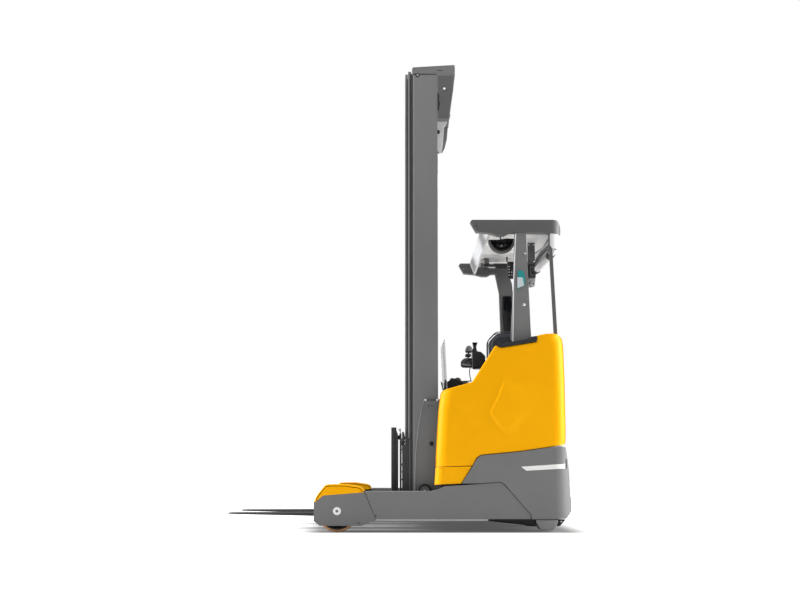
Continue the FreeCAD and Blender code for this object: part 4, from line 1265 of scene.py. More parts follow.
@dataclass
class RunningGear:
    """Wheels, axle ends, and the fasteners and foot strips of the arms."""

    axle_x: float = -395.5
    load_radius: float = 143.0
    outer: float = 632.0

    def wheels(self) -> None:
        """Load wheel on each side and the drive wheel."""
        for sign, name in ((-1, "near_load"), (1, "far_load")):
            Wheel(name, name + "_wheel", (self.axle_x, sign * 557, self.load_radius), 143, 127, 100, 25.2,
                6, TREAD).build()
        Wheel("drive", "drive_wheel", (1014.5, 0, 171.5), 171.5, 118, 114, 40.2, 8, DARK_TREAD).build()

    def axle_ends(self) -> None:
        """Bright washer with a dark socket at each axle, and small fasteners along the arm."""
        parts = []
        spot = (self.axle_x, -634.6, self.load_radius)
        parts.append(lathe([(27, 3), (27, -0.3), (25.5, -0.5), (10, -0.5), (9, 0.6)], Y, spot, 40, 2))
        parts.append(lathe([(8, 2), (8, -0.2), (5, -0.4), (4, 1.0)], Y, spot, 6, 1))
        small = [(-134, -632, 111), (-250, -632, 62)]
        for x, y, z in small:
            parts.append(lathe([(8, 2), (8, -0.6), (6.5, -1.4), (4, -1.4), (3.6, -0.4)], Y, (x, y, z), 24,
                0))
            parts.append(lathe([(3.6, 1), (3.6, -0.6), (1, -0.7)], Y, (x, y, z), 6, 1))
        SHOP.make("axle_ends", "chassis", both(parts), [SHADED_GREY, CAST, WHITE])

    def arm_edges(self) -> None:
        """Rolled foot strip under each arm and the weld bead between plate and beam, painted pale as the
        floor's reflection.
        """
        strip = slab([(-130, 77, 2), (622, 77, 2), (622, 88, 2), (-136, 88, 2)], Y, -632.6, -612, 1.5)
        bead = tube([(-210, -613.5, 274.5), (0, -613.5, 274.5), (300, -613.5, 274.5)], 3.2, (0, 0, 1), 0, 0,
            8)
        parts = [strip, bead]
        SHOP.make("arm_edge_strips", "chassis", both(parts), [FLOOR_REFLECTION_GREY])

    def build(self) -> None:
        """Wheels, fasteners and strips."""
        self.wheels()
        self.axle_ends()
        self.arm_edges()


# ---- forks

@dataclass
class Forks:
    """Pair of forged forks: shank, heel bend and a blade that thins to a rounded tip."""

    spacing: float = 450.0
    width: float = 120.0
    blade_top: float = 118.0
    shank_top: float = 730.0
    heel: float = 52.0

    def fork(self, name: str, y: float) -> None:
        """One fork in place of its node.

        Args:
            name: side, near or far.
            y: its middle across the truck.
        """
        low, high = limits(name + "_fork")
        face, tip = high[0], low[0]
        up = [(face - 18.5, self.shank_top), (face - 18.5, 420), (face - 18.5, 118 + self.heel)]
        turn = np.linspace(0, math.pi / 2, 12)
        bend = [(face - 18.5 - self.heel * (1 - math.cos(a)), 98 + self.heel * (1 - math.sin(a)))
            for a in turn]
        shares = np.linspace(0.02, 1, 40) ** 0.9
        start = bend[-1][0]
        line = [(start + (tip - start) * s, 98.0) for s in shares]
        centre = np.array(up[:2] + bend + line)
        x, z = centre.T
        along = np.clip((start - x) / (start - tip), 0, 1)
        thick = np.where(x < start, 40 - 30 * along, 37.0)
        top = self.blade_top - 4 * along ** 1.2
        z = np.where(x < start - 1, top - thick / 2, z)
        reach = np.clip((x - tip) / 70, 0.0, 1)
        wide = self.width * np.where(x < start, 0.52 + 0.48 * np.sqrt(1 - (1 - reach) ** 2), 1.0)
        path = np.column_stack([x, np.full_like(x, y), z])
        section = oblong(1, 1, 0.12)
        tangent = np.gradient(path, axis=0)
        tangent /= np.linalg.norm(tangent, axis=1)[:, None]
        over = np.cross(np.array([0.0, 1.0, 0.0]), tangent)
        grid = (path[:, None] + section[None, :, :1] * wide[:, None, None] * np.array([0, 1.0, 0])
            + section[None, :, 1:] * thick[:, None, None] * over[:, None])
        blade = shell(grid, 0)
        latch = [block((face - 30, y - 22, self.shank_top - 2), (face - 8, y + 22, self.shank_top + 0.5), 1,
            3, Z)]
        mark = [block((face - 37.3, y - 30, 452), (face - 36, y + 30, 470), 0.3, 2, X, 1)]
        SHOP.make(name + "_fork_forging", "fork_frame", [blade] + latch + mark,
            [FORGED, ZINC], [name + "_fork"], 32)

    def build(self) -> None:
        """Both forks."""
        self.fork("near", -self.spacing / 2)
        self.fork("far", self.spacing / 2)


# ---- guard

def crust(top: np.ndarray, under: np.ndarray, finish: int = 0) -> Shell:
    """Closed sheet between two grids of the same size.

    Args:
        top: rows by columns by three.
        under: the same grid on the other face.
        finish: finish number.
    Returns:
        Both faces, with a rim of faces between their borders.
    """
    rows, columns = top.shape[:2]
    rim = rim_of(rows, columns)
    faces = quads(rows, columns, close_columns=False)
    faces += (np.array(faces)[:, ::-1] + rows * columns).tolist()
    below = rim + rows * columns
    faces += np.stack([rim, below, np.roll(below, -1), np.roll(rim, -1)], axis=1).tolist()
    return outward(np.concatenate([top.reshape(-1, 3), under.reshape(-1, 3)]), faces, finish)


def arc(profile: Points, axis: Axis, centre: Sequence[float], start: float, end: float, around: int = 40,
        finish: int = 0) -> Shell:
    """Closed section of (radius, distance along) carried through part of a turn, in degrees."""
    radius, along = np.asarray(profile, float).T
    turn = np.radians(np.linspace(start, end, around))
    grid = np.empty((around, len(radius), 3))
    grid[..., axis.value] = along
    grid[..., (axis.value + 1) % 3] = np.cos(turn)[:, None] * radius
    grid[..., (axis.value + 2) % 3] = np.sin(turn)[:, None] * radius
    return shell(grid + np.asarray(centre, float), finish)


@dataclass
class Guard:
    """Dress of the overhead guard: domed roof, front pane, mirror, terminal, lamp bar and corner bracket."""

    top: float = 2190.0
    half: float = 524.0
    rear: float = 1163.5
    ribs: int = 9
    mirror_at: tuple = (757.5, -325.0, 2068.0)
    bowl: float = 96.0

    def roof(self) -> None:
        """Domed ribbed sheet: a curve along the truck plus shallow rounded ribs across it."""
        x = np.concatenate([np.linspace(616, 700, 12)[:-1], np.linspace(700, 1060, 25)[:-1],
            np.linspace(1060, 1122, 14)])
        y = np.linspace(-self.half, self.half, 145)
        line = ((616, 2158), (665, 2175), (783, 2184.5), (974, 2184.5), (1060, 2171), (1100, 2150),
            (1122, 2137))
        crown = along_path(line, x)[:, None]
        across = 1 - (np.abs(y) / self.half) ** 6
        rib = smooth_step(np.cos(y / self.half * self.ribs * math.pi) * 1.6 + 0.5)
        ends = smooth_step((x - 640) / 50) * smooth_step((1090 - x) / 50)
        height = crown - 6 * (1 - across) + 5.0 * rib * ends[:, None]
        xx, yy = np.meshgrid(x, y, indexing="ij")
        top = np.stack([xx, yy, height], axis=-1)
        sheet = crust(top, top - np.array([0, 0, 5.0]))
        SHOP.make("roof_dome", "chassis", [sheet], [ROOF], ["roof_sheet"], 60)

    def pane(self) -> None:
        """Pale sloping pane between the beams in front, with a folded edge, over its steel plate."""
        plate = slab([(613.5, 2162, 1), (627.5, 2162, 1), (662, 2077, 1), (648, 2077, 1)], Y, -524.5, 524.5,
            0.8)
        fold = slab([(611, 2162, 2), (616, 2162, 2), (652, 2073, 2), (645, 2073, 2)], Y, -524.5, 524.5, 1)
        SHOP.make("front_pane", "chassis", [plate, fold], [PALE_AND_LIT_GREY])

    def corner(self) -> None:
        """Bracket inside each rear corner, painted pale for the light on its inner face: an arc in plan, its
        lower edge swept up, with screws.
        """
        turn = np.radians(np.linspace(-96, 6, 30))
        centre = (self.rear - 80, -485.0)
        levels = np.linspace(0, 1, 12)
        share = np.linspace(0, 1, 30)
        low = 1966 + 95 * smooth_step((share - 0.78) * 4) + 20 * smooth_step((0.14 - share) * 7)
        parts = []
        for radius in (77.0, 71.0):
            ring = np.empty((30, 12, 3))
            ring[..., 0] = centre[0] + radius * np.cos(turn)[:, None]
            ring[..., 1] = centre[1] + radius * np.sin(turn)[:, None]
            ring[..., 2] = low[:, None] + (2110 - low)[:, None] * levels
            parts.append(ring)
        shield = crust(parts[0], parts[1])
        screws = []
        for degrees, z in ((-60, 2000), (-60, 2045), (-25, 1990), (-25, 2050)):
            a = math.radians(degrees)
            spot = (centre[0] + 70 * math.cos(a), centre[1] + 70 * math.sin(a), z)
            screws.append(lathe([(6, 4), (6, -2), (4, -4), (1, -4)], X, spot, 12, 1))
        parts = [shield] + screws
        SHOP.make("rear_corner_brackets", "chassis", both(parts), [PALE_AND_LIT_GREY, TRIM])

    def terminal(self) -> None:
        """Driver's display on its plate, with the swivel arm that carries it from the rear corner."""
        parts = [block((846, -80, 1882), (898, -42, 2010), 5, 8, Y),
            block((898, -78, 1890), (1004, -44, 2004), 5, 8, Y), block((904, -80.5, 1900),
            (996, -77, 1996), 1, 4, Y, 1), block((1000, -80, 1884), (1061, -46, 1990), 6, 9, Y),
            block((1006, -42, 1990), (1062, -30, 2168), 2, 4, Y, 2), block((838, -66, 2012),
            (850, -56, 2052), 2, 3, Y)]
        parts += [block((x, -84, z), (x + 9, -79, z + 9), 1.5, 3, Y, 3)
            for x, z in ((852, 1900), (852, 1922), (852, 1944), (852, 1966), (872, 1900), (872, 1922))]
        parts += [block((1018 + 12 * k, -83, 1896), (1026 + 12 * k, -79, 1978), 1, 3, Y, 2)
            for k in range(3)]
        parts += bolts([(1054, -43, 2150), (1054, -43, 2020), (1014, -43, 2150)], Y, -1, 6, 3)
        arm = tube([(1036, -52, 1936), (1060, -90, 1936), (1108, -300, 1962), (1122, -440, 1984),
            (1124, -478, 1996)], 24, (0, 0, 1), 4, 3, 20)
        collar = tube([(1112, -352, 1969), (1118, -402, 1977)], 29, (0, 0, 1), 0, 1, 20)
        elbow = tube([(1030, -50, 1936), (1050, -72, 1936), (1066, -116, 1938)], 29, (0, 0, 1), 0, 2, 20)
        cable = tube([(1050, -60, 1990), (1085, -90, 2040), (1108, -210, 2050), (1116, -330, 2030),
            (1120, -430, 2046), (1122, -470, 2080)], 5, (0, 0, 1), 0, 3, 10)
        strut = tube([(1064, -60, 2080), (1100, -240, 2072), (1122, -470, 2090)], 7, (0, 0, 1), 3, 2, 12)
        SHOP.make("driver_terminal", "chassis", parts + [arm, collar, elbow, cable, strut],
            [TRIM, GLOSS, SHADED_GREY, ZINC, PALE_AND_LIT_GREY], ["terminal"])

    def lamp(self) -> None:
        """Flat work lamp bar under the roof near the far beam, with its ribbed heat sink and bracket."""
        y = 400.0
        bar = slab([(694, 2100, 5), (909, 2100, 5), (909, 2116, 5), (706, 2116, 5), (690, 2110, 4)], Y,
            y - 30, y + 30, 3)
        lens = block((712, y - 24, 2097), (900, y + 24, 2101), 1, 3, Z, 1)
        ribs = [block((x, y - 26, 2114), (x + 5, y + 26, 2128), 1, 0, Z, 2) for x in np.arange(796, 905, 9)]
        knob = lathe([(12, -34), (14, -32), (14, -22), (10, -20)], Y, (702, y, 2112), 20, 2)
        bracket = block((722, y - 12, 2112), (760, y + 12, 2170), 2, 3, Y, 2)
        rail = block((668, y + 60, 2118), (905, y + 66, 2150), 2, 4, Y, 3)
        SHOP.make("work_lamp_bar", "chassis", [bar, lens, knob, bracket, rail] + ribs,
            [TRIM, GLOSS, SHADED_GREY, PALE_AND_LIT_GREY])

    def mirror(self) -> None:
        """Half-round wide-angle mirror: a grey rim, stepped black bowl and its stalk and stay."""
        x, y, z = self.mirror_at
        face = y - self.bowl
        rim = [(self.bowl, face + 2), (self.bowl, face + 20), (self.bowl - 15, face + 20),
            (self.bowl - 17, face + 2), (self.bowl - 9, face)]
        bowl = [(0.1, y - 4), (40, y - 10), (70, y - 34), (82, face + 16), (81, face + 6), (70, face + 5),
            (66, face + 18), (56, face + 20), (52, face + 10), (34, face + 8), (30, face + 26),
            (0.1, face + 30)]
        parts = [arc(rim, Y, (x, 0, z), 90, 270, 44, 0), arc(bowl, Y, (x, 0, z), 90.6, 269.4, 44, 1),
            block((x - self.bowl + 2, face + 4, z - 2), (x + self.bowl - 2, y - 60, z + 5), 1.5, 4, Y, 1)]
        parts.append(tube([(x - 3, face + 24, z - 40), (x - 5, face + 20, z + 10), (x - 6, y - 60, z + 60),
            (x - 6, y - 6, z + 106)], 5, (0, 1, 0), 1, 2, 12))
        parts.append(lathe([(1, -2), (9, -2), (11, 2), (9, 8), (1, 9)], Y, (x - 3, face + 10, z - 36), 20,
            2))
        parts.append(slab([(x - 4, z + 8, 2), (x + 94, z + 12, 3), (x + 94, z + 20, 3), (x + 40, z + 22, 3),
            (x - 4, z + 17, 2)], Y, face + 30, face + 40, 2, 1))
        SHOP.make("wide_mirror", "chassis", parts, [SHADED_GREY, GLOSS, CHROME], ["dome_mirror"])

    def pillars(self) -> None:
        """Screws and blank plates on the near pillar, and the padded panel let into the far one."""
        heads = bolts([(900, -579, 1924)], Y, -1, 6, 0)
        heads += [lathe([(10, 2), (10, -1), (7, -3.5), (1, -4)], Y, (887, -579, 1564), 20, 0)]
        teal = slab([(848, 1802, 2), (884, 1802, 10), (897, 1752, 3), (893, 1702, 3), (843, 1672, 3)], Y,
            -579.9, -578, 0.3, 1)
        pale = slab([(843, 1756, 3), (880, 1754, 8), (888, 1697, 3), (843, 1680, 3)], Y, -580.3, -578, 0.3,
            2)
        # Pale bead down the pillar's front edge: a painted highlight.
        bead = sweep(np.array([(808, -577, 1285), (817, -577, 1710), (835, -577, 2062)], float),
            oblong(5, 5, 2), (0, 1, 0), 3)
        SHOP.make("near_pillar_fittings", "chassis", heads + [teal, pale, bead],
            [ZINC, TEAL, PLATE, PALE_AND_LIT_GREY])
        frame_line = [(886, 1890, 14), (962, 1890, 14), (977, 1800, 10), (979, 1560, 14), (896, 1560, 14),
            (884, 1780, 8)]
        rim = slab(frame_line, Y, 522.4, 526, 1.5, 1)
        pad = slab([(893, 1883, 10), (957, 1883, 10), (970, 1800, 8), (972, 1567, 10), (903, 1567, 10),
            (891, 1780, 6)], Y, 519, 524, 2.4, 0)
        SHOP.make("far_pillar_panel", "chassis", [pad, rim], [GLOSS, TRIM])

    def fixings(self) -> None:
        """Bolt heads along the far beam, and the rubber feet of the rods on both sides."""
        spots = [(1077, -566, 2096), (872, -566, 2100), (856, -566, 2140), (560, -566, 2140)]
        heads = []
        for x, y, z in spots:
            heads.append(lathe([(7, 3), (7, -0.6), (5, -1.6), (1, -1.6)], Y, (x, y + 1, z), 16, 0))
        feet = [lathe([(15, 0), (15, 5), (11, 7), (1, 7)], Z, (1110, -543, 1345), 20, 1)]
        far = [head.mirrored() for head in heads]
        SHOP.make("guard_fixings", "chassis", far + both(feet), [ZINC, TRIM])

    def build(self) -> None:
        """All fittings of the guard."""
        self.roof()
        self.pane()
        self.corner()
        self.terminal()
        self.lamp()
        self.mirror()
        self.pillars()
        self.fixings()


# ---- cab

@dataclass
class Pad:
    """Stuffed pad: a rounded outline pushed along an axis, swollen by a short cloth run, then piped."""

    name: str
    outline: tuple
    axis: Axis
    low: float
    high: float
    shrink: float = 7.0
    cap_mm: float = 9.0
    fill: float = 0.7

    def start(self) -> bpy.types.Object:
        """Slightly smaller body of the pad as a scratch object, ready for the voxel remesh."""
        line = inset(rounded(self.outline, 10), self.shrink)
        body = slab(line, self.axis, self.low + self.shrink, self.high - self.shrink, 16, 0, 5)
        mesh = bpy.data.meshes.new(self.name)
        mesh.from_pydata((body.points * MM).tolist(), [], [list(face) for face in body.faces])
        return linked(self.name, mesh)

    def swell(self, item: bpy.types.Object) -> None:
        """Remeshes the pad, blows it up for twenty frames, and caps how far each point has moved.

        Args:
            item: the scratch object; its mesh is replaced.
        """
        remesh = item.modifiers.new("voxels", "REMESH")
        remesh.mode = "VOXEL"
        remesh.voxel_size = 6 * MM
        self.settle(item)
        before = self.read(item)
        cloth = item.modifiers.new("stuffing", "CLOTH")
        cloth.settings.use_pressure = True
        cloth.settings.uniform_pressure_force = 4.0
        cloth.settings.effector_weights.gravity = 0.0
        scene = bpy.context.scene
        for step in range(1, 21):
            scene.frame_set(step)
        self.settle(item)
        scene.frame_set(1)
        after = self.read(item)
        move = after - before
        length = np.linalg.norm(move, axis=1)
        share = np.minimum(1.0, self.cap_mm * MM / np.maximum(length, 1e-9))
        self.write(item, before + move * share[:, None])

    def settle(self, item: bpy.types.Object) -> None:
        """Puts the evaluated mesh, all modifiers applied, in the object's place."""
        graph = bpy.context.evaluated_depsgraph_get()
        mesh = bpy.data.meshes.new_from_object(item.evaluated_get(graph))
        item.modifiers.clear()
        item.data = mesh

    def read(self, item: bpy.types.Object, what: str = "co") -> np.ndarray:
        """Vertex places in metres, or their normals."""
        flat = np.empty(len(item.data.vertices) * 3)
        item.data.vertices.foreach_get(what, flat)
        return flat.reshape(-1, 3)

    def write(self, item: bpy.types.Object, points: np.ndarray) -> None:
        """Puts vertex places back into the mesh."""
        item.data.vertices.foreach_set("co", points.ravel())
        item.data.update()

    def sew(self, item: bpy.types.Object, channels: Sequence[tuple]) -> None:
        """Presses sewn channels into the pad: each a groove along a plane, deepest on the plane.

        Args:
            item: the pad.
            channels: plane as axis number, place, width and depth, in millimetres.
        """
        points = self.read(item)
        normal = self.read(item, "normal")
        for axis, place, width, depth in channels:
            off = (points[:, axis] / MM - place) / width
            face = np.abs(normal[:, axis]) < 0.6
            points -= normal * (depth * MM * np.exp(-off ** 2) * face)[:, None]
        self.write(item, points)

    def fit(self, item: bpy.types.Object) -> None:
        """Keeps the pad inside its own space: each coordinate is held between the outline's limits."""
        corners = np.array([c[:2] for c in self.outline])
        low, high = np.empty(3), np.empty(3)
        low[self.axis.value], high[self.axis.value] = self.low, self.high
        first, second = PLAN[self.axis]
        low[[first, second]], high[[first, second]] = corners.min(axis=0), corners.max(axis=0)
        points = np.clip(self.read(item), (low + 0.5) * MM, (high - 0.5) * MM)
        self.write(item, points)

    def build(self, node: str, finish: Finish, channels: Sequence[tuple]) -> None:
        """The whole pad, in place of its node.

        Args:
            node: the CAD node.
            finish: its cloth.
            channels: sewn channels, as for sew().
        """
        item = self.start()
        self.swell(item)
        self.fit(item)
        self.sew(item, channels)
        item.data.shade_smooth()
        smooth = item.modifiers.new("round", "SUBSURF")
        smooth.levels = 1
        smooth.render_levels = 1
        item.data.materials.clear()
        item.data.materials.append(SHOP.material(finish))
        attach(item, "chassis")
        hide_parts(node)
        LOG.info("%s: padded, %d faces", self.name, len(item.data.polygons))

    def piping(self, inner: float, level: float, thick: float) -> Shell:
        """Welt cord round the outline, set in from its edge, at a place along the push axis."""
        line = inset(rounded(self.outline, 10), inner)
        return sweep(lift(line, self.axis, np.full(len(line), level)), circle(thick, 8),
            tuple(np.eye(3)[self.axis.value]), closed=True)


@dataclass
class Seat:
    """Driver's seat: cushion, tall back, their piping, the sprung base and its bellows."""

    cushion: tuple = ((652, -428, 46), (898, -428, 46), (898, 58, 70), (652, 58, 70))
    back: tuple = ((655, 822, 24), (655, 1030, 40), (640, 1160, 80), (640, 1330, 60), (700, 1390, 50),
        (868, 1393, 30), (903, 1374, 34), (908, 822, 24))

    def pads(self) -> None:
        """Both pads and the welt cords along their edges."""
        seat = Pad("seat_pad", self.cushion, Z, 822, 908)
        rest = Pad("back_pad", self.back, Y, -509, -432, cap_mm=8.0)
        seat.build("seat_cushion", CLOTH, [(1, -290, 5, 5), (1, -90, 5, 5), (0, 760, 5, 4)])
        rest.build("seat_back", CLOTH, [(2, 1010, 5, 4), (2, 1180, 5, 4)])
        welts = [seat.piping(5, 893, 3.6), seat.piping(3, 836, 3.6), rest.piping(4, -500, 3.4),
            rest.piping(4, -441, 3.4), rest.piping(38, -508.0, 3.0)]
        SHOP.make("seat_piping", "chassis", welts, [LEATHERETTE], (), 60)

    def base(self) -> None:
        """Moulded plinth with a panel line, a ribbed rubber bellows over it, a slide rail and its lever."""
        low, high = limits("seat_base")
        middle = (low + high) / 2
        plinth = block((low[0], low[1], low[2]), (high[0], high[1], 640), 8, 26, Z)
        rings = []
        for z in np.linspace(640, 792, 39):
            fold = 15 * 0.5 * (1 - math.cos((z - 640) / 152 * 2 * math.pi * 5))
            line = rounded([(low[0] + 6, low[1] + 6, 30), (high[0] - 6, low[1] + 6, 30),
                (high[0] - 6, high[1] - 6, 30), (low[0] + 6, high[1] - 6, 30)], 6)
            rings.append(lift(inset(line, fold), Z, z))
        bellows = shell(np.stack(rings), 1)
        tray = block((low[0] + 2, low[1] + 2, 790), (high[0] - 2, high[1] - 2, 820), 6, 24, Z)
        rails = [block((low[0] + 8, y - 14, 806), (high[0] - 8, y + 14, 818), 2, 3, Z, 2)
            for y in (middle[1] - 120, middle[1] + 120)]
        lever = [tube([(low[0] + 20, high[1] - 8, 800), (low[0] + 6, high[1] - 4, 802),
            (low[0] + 2, high[1] - 60, 804)], 6, (0, 0, 1), 0, 2, 12)]
        line = [block((low[0] + 30, high[1] - 1.2, 430), (high[0] - 30, high[1] - 0.2, 620), 0.8, 12, Y, 1)]
        SHOP.make("seat_plinth", "chassis", [plinth, bellows, tray] + rails + lever + line,
            [TRIM, HOSE, ZINC], ["seat_base"])

    def build(self) -> None:
        """Pads and base."""
        self.pads()
        self.base()


@dataclass
class Controls:
    """Dash, hand wheel, lever console, clear screen, pedals and floor mat."""

    wheel_middle: tuple = (468.5, 215.0)
    wheel_radius: float = 115.0
    wheel_low: float = 1092.0

    def dash(self) -> None:
        """Moulded dash with a rounded brow, a blank display, switches, a knob and a side disc."""
        low, high = limits("dashboard")
        shape = [(low[0], low[2] + 20, 10), (low[0] + 18, low[2], 12), (high[0] - 20, low[2], 16),
            (high[0], low[2] + 26, 16), (high[0] - 6, low[2] + 62, 20), (high[0] - 52, high[2] - 14, 26),
            (low[0] + 48, high[2] - 2, 20), (low[0] + 4, high[2] - 30, 16)]
        body = slab(shape, Y, low[1], high[1], 9, 0, 4)
        slope = math.degrees(math.atan2(24, 46))
        parts = [body]
        for y, half in ((40, 46), (330, 30)):
            plate = block((-23, y - half, -3), (23, y + half, 3), 1.6, 5, Z, 1)
            parts.append(plate.turned(Y, slope).moved(458, 0, 1062))
        for y in (-200, -170, -140, -110, -80, 120, 150):
            key = block((-10, y - 10, -3), (10, y + 10, 5), 2.5, 4, Z, 2)
            parts.append(key.turned(Y, slope).moved(460, 0, 1062))
        parts.append(lathe([(16, 0), (16, 30), (14, 40), (8, 44), (1, 44)], Z, (405, -300, 1043), 28, 0))
        parts.append(lathe([(25, -12), (26, -8), (26, 8), (22, 12), (1, 12)], Y, (444, -322, 1062), 36, 3))
        parts.append(tube([(470, -305, 1062), (505, -303, 1064), (543, -300, 1066)], 4, (0, 0, 1), 0, 1, 8))
        SHOP.make("dash_moulding", "chassis", parts, [TRIM, GLOSS, SOFT_TRIM, GREY],
            ["dashboard"], 40)

    def wheel(self) -> None:
        """Hand wheel: padded rim, three dished spokes, and a hub with its cap."""
        x, y = self.wheel_middle
        z = self.wheel_low + 12
        a = np.linspace(0, 2 * math.pi, 72, endpoint=False)
        r = self.wheel_radius - 12.5
        path = np.stack([x + r * np.cos(a), y + r * np.sin(a), np.full(72, z)], axis=1)
        rim = sweep(path, circle(11.8, 14), (0, 0, 1), closed=True)
        parts = [rim]
        for degrees in (90, 210, 330):
            c, s = math.cos(math.radians(degrees)), math.sin(math.radians(degrees))
            line = [(x + q * c, y + q * s, z + h) for q, h in ((18, -5), (50, -6), (80, -3), (r, 0))]
            parts.append(sweep(eased(line, 2), oblong(24, 9, 3.5), (0, 0, 1), 0,
                np.linspace(1.15, 0.8, len(eased(line, 2)))))
        parts.append(lathe([(1, -11.5), (30, -11.5), (34, -7), (34, 2), (28, 9), (12, 11.5), (1, 11.8)], Z,
            (x, y, z), 36, 1))
        parts.append(lathe([(20, 9), (20, 11.9), (17, 12), (1, 12)], Z, (x, y, z), 28, 2))
        SHOP.make("hand_wheel_rim", "hand_wheel", parts, [SOFT_TRIM, TRIM, GLOSS],
            ["steering_wheel"], 50)

    def console(self) -> None:
        """Lever console: armrest pad, domed knob, forked grip on its stem, body with bellows and cable."""
        y = -350.0
        arm = slab([(467, 1172, 12), (480, 1160, 14), (542, 1159, 3), (542, 1222, 3), (492, 1222, 26),
            (467, 1204, 16)], Y, y - 42, y + 42, 12, 0, 4)
        seam = slab([(474, 1178, 8), (484, 1168, 10), (538, 1167, 2), (538, 1171, 2), (486, 1172, 10),
            (478, 1182, 8)], Y, y - 42.8, y + 42.8, 0.8, 3)
        dome = lathe([(1, 44), (9, 43), (18, 35), (25, 20), (28, 4), (27, 0), (1, 0)], Z, (524.5, y, 1272),
            32, 2)
        under = lathe([(27, 1), (26, -4), (22, -6), (1, -6)], Z, (524.5, y, 1272), 28, 1)
        stem = tube([(524, y, 1274), (520, y, 1250), (517, y, 1215)], 6, (0, 1, 0), 1, 2, 12)
        collar = block((498, y - 22, 1234), (538, y + 22, 1256), 5, 8, Y, 4)
        grip = slab([(553, 1270), (556, 1308, 6), (549, 1338, 4), (555, 1341, 2), (565, 1322, 8),
            (571, 1322, 8), (580, 1341, 2), (586, 1337, 4), (577, 1308, 6), (579, 1270)], Y, y - 15, y + 15,
            4, 1, 3)
        body = slab([(547, 1160, 12), (560, 1148, 12), (630, 1148, 12), (639, 1160, 10), (639, 1236, 14),
            (606, 1268, 22), (556, 1268, 10), (547, 1256, 8)], Y, y - 44, y + 44, 9, 1, 4)
        rings = [lathe([(18 - 1.4 * k, 0), (20 - 1.4 * k, 4), (18 - 1.4 * k, 8)], Z, (566, y, 1264 + 7 * k),
            28, 1) for k in range(4)]
        keys = [block((578 + 16 * k, y - 34 + 24 * j, 1266 - 8 * k),
            (590 + 16 * k, y - 16 + 24 * j, 1272 - 8 * k), 2, 3, Z, 2) for k in range(2) for j in range(3)]
        trim = block((543, y - 38, 1262), (546, y + 38, 1152), 1, 1, Y, 5)
        pedestal = block((608, y - 20, 1014), (638, y + 20, 1156), 6, 4, Y, 1)
        cable = tube([(534, y - 6, 1162), (526, y - 6, 1130), (530, y - 6, 1090), (540, y - 6, 1056)], 3.2,
            (0, 1, 0), 1, 3, 8)
        SHOP.make("lever_console", "chassis", [arm, seam, dome, under, stem, collar, grip,
            body, trim, pedestal, cable] + rings + keys, [LEATHERETTE, TRIM, GREY, PALE_AND_LIT_GREY, SOFT_TRIM, CHROME],
            ["arm_console"], 40)

    def screen(self) -> None:
        """Clear leaning sheet with rounded upper corners and a black foot channel."""
        low, high = limits("cab_screen")
        line = rounded([(low[1], low[2] + 8, 2), (high[1], low[2] + 8, 2), (high[1], high[2] + 20, 24),
            (low[1], high[2], 14)], 14)
        share = (line[:, 1] - low[2]) / (high[2] - low[2])
        x = high[0] + 2 - 16 * share
        front = np.column_stack([x, line[:, 0], line[:, 1]])
        sheet = shell(np.stack([front, front + [4.0, 0, 0]]), 0)
        channel = block((low[0] + 4, low[1] + 3, low[2]), (high[0], high[1] - 3, low[2] + 22), 3, 4, X, 1)
        screws = [lathe([(5, 2), (5, -1), (3, -2), (1, -2)], X, (low[0] + 4, y, low[2] + 11), 14, 2)
            for y in np.linspace(low[1] + 40, high[1] - 40, 6)]
        holder = slab([(331, 972, 2), (351, 972, 2), (353, 1046, 4), (341, 1052, 4)], Y,
            low[1] + 2, low[1] + 12, 2, 1)
        seal = slab([(328, 970, 2), (334, 970, 2), (318, 1038, 2), (313, 1036, 2)], Y,
            low[1] + 4, low[1] + 30, 1.5, 1)
        SHOP.make("screen_sheet", "chassis", [sheet, channel, holder, seal] + screws,
            [CLEAR, TRIM, ZINC], ["cab_screen"], 30)

    def floor(self) -> None:
        """Ribbed rubber mat and two pedals on their levers."""
        ribs = [block((x, 60, 429), (x + 9, 500, 432.5), 1, 2, Z) for x in np.arange(668, 880, 16)]
        pedals = []
        for y in (190, 330):
            pad = block((-34, y - 30, -5), (34, y + 30, 5), 3, 8, Z).turned(Y, -32).moved(706, 0, 474)
            grips = [block((-30 + 14 * k, y - 26, 4), (-24 + 14 * k, y + 26, 7), 1, 1, Z)
                .turned(Y, -32).moved(706, 0, 474) for k in range(5)]
            lever = tube([(700, y, 468), (680, y, 450), (664, y, 436)], 8, (0, 1, 0), 1, 2, 12)
            pedals += [pad, lever] + grips
        SHOP.make("pedals_and_mat", "chassis", ribs + pedals, [HOSE, FORGED])

    def build(self) -> None:
        """All of the driver's controls."""
        self.dash()
        self.wheel()
        self.console()
        self.screen()
        self.floor()


# ---- mast

def chain(x: float, y: float, low: float, high: float, pitch: float = 25.4, finish: int = 0) -> list:
    """Leaf chain hanging between two heights.

    Args:
        x: place along the truck.
        y: middle of the chain across the truck.
        low: lower end.
        high: upper end.
        pitch: pin spacing.
        finish: finish number.
    Returns:
        Three leaves side by side. Each is a thin section swept up, its depth swelling with the absolute
        cosine of the height over the pitch, the middle leaf half a pitch out of step.
    """
    steps = np.arange(low, high, pitch / 4)
    path = np.column_stack([np.full(len(steps), x), np.full(len(steps), y), steps])
    leaves = []
    for offset, phase in ((-6.0, 0.0), (0.0, 0.5), (6.0, 0.0)):
        swell = 0.68 + 0.32 * np.abs(np.cos(math.pi * ((steps - low) / pitch + phase)))
        section = oblong(22, 5, 1.0)
        grid = np.empty((len(steps), len(section), 3))
        grid[..., 0] = path[:, None, 0] + section[None, :, 0] * swell[:, None]
        grid[..., 1] = path[:, None, 1] + offset + section[None, :, 1]
        grid[..., 2] = path[:, None, 2]
        leaves.append(shell(grid, finish))
    return leaves


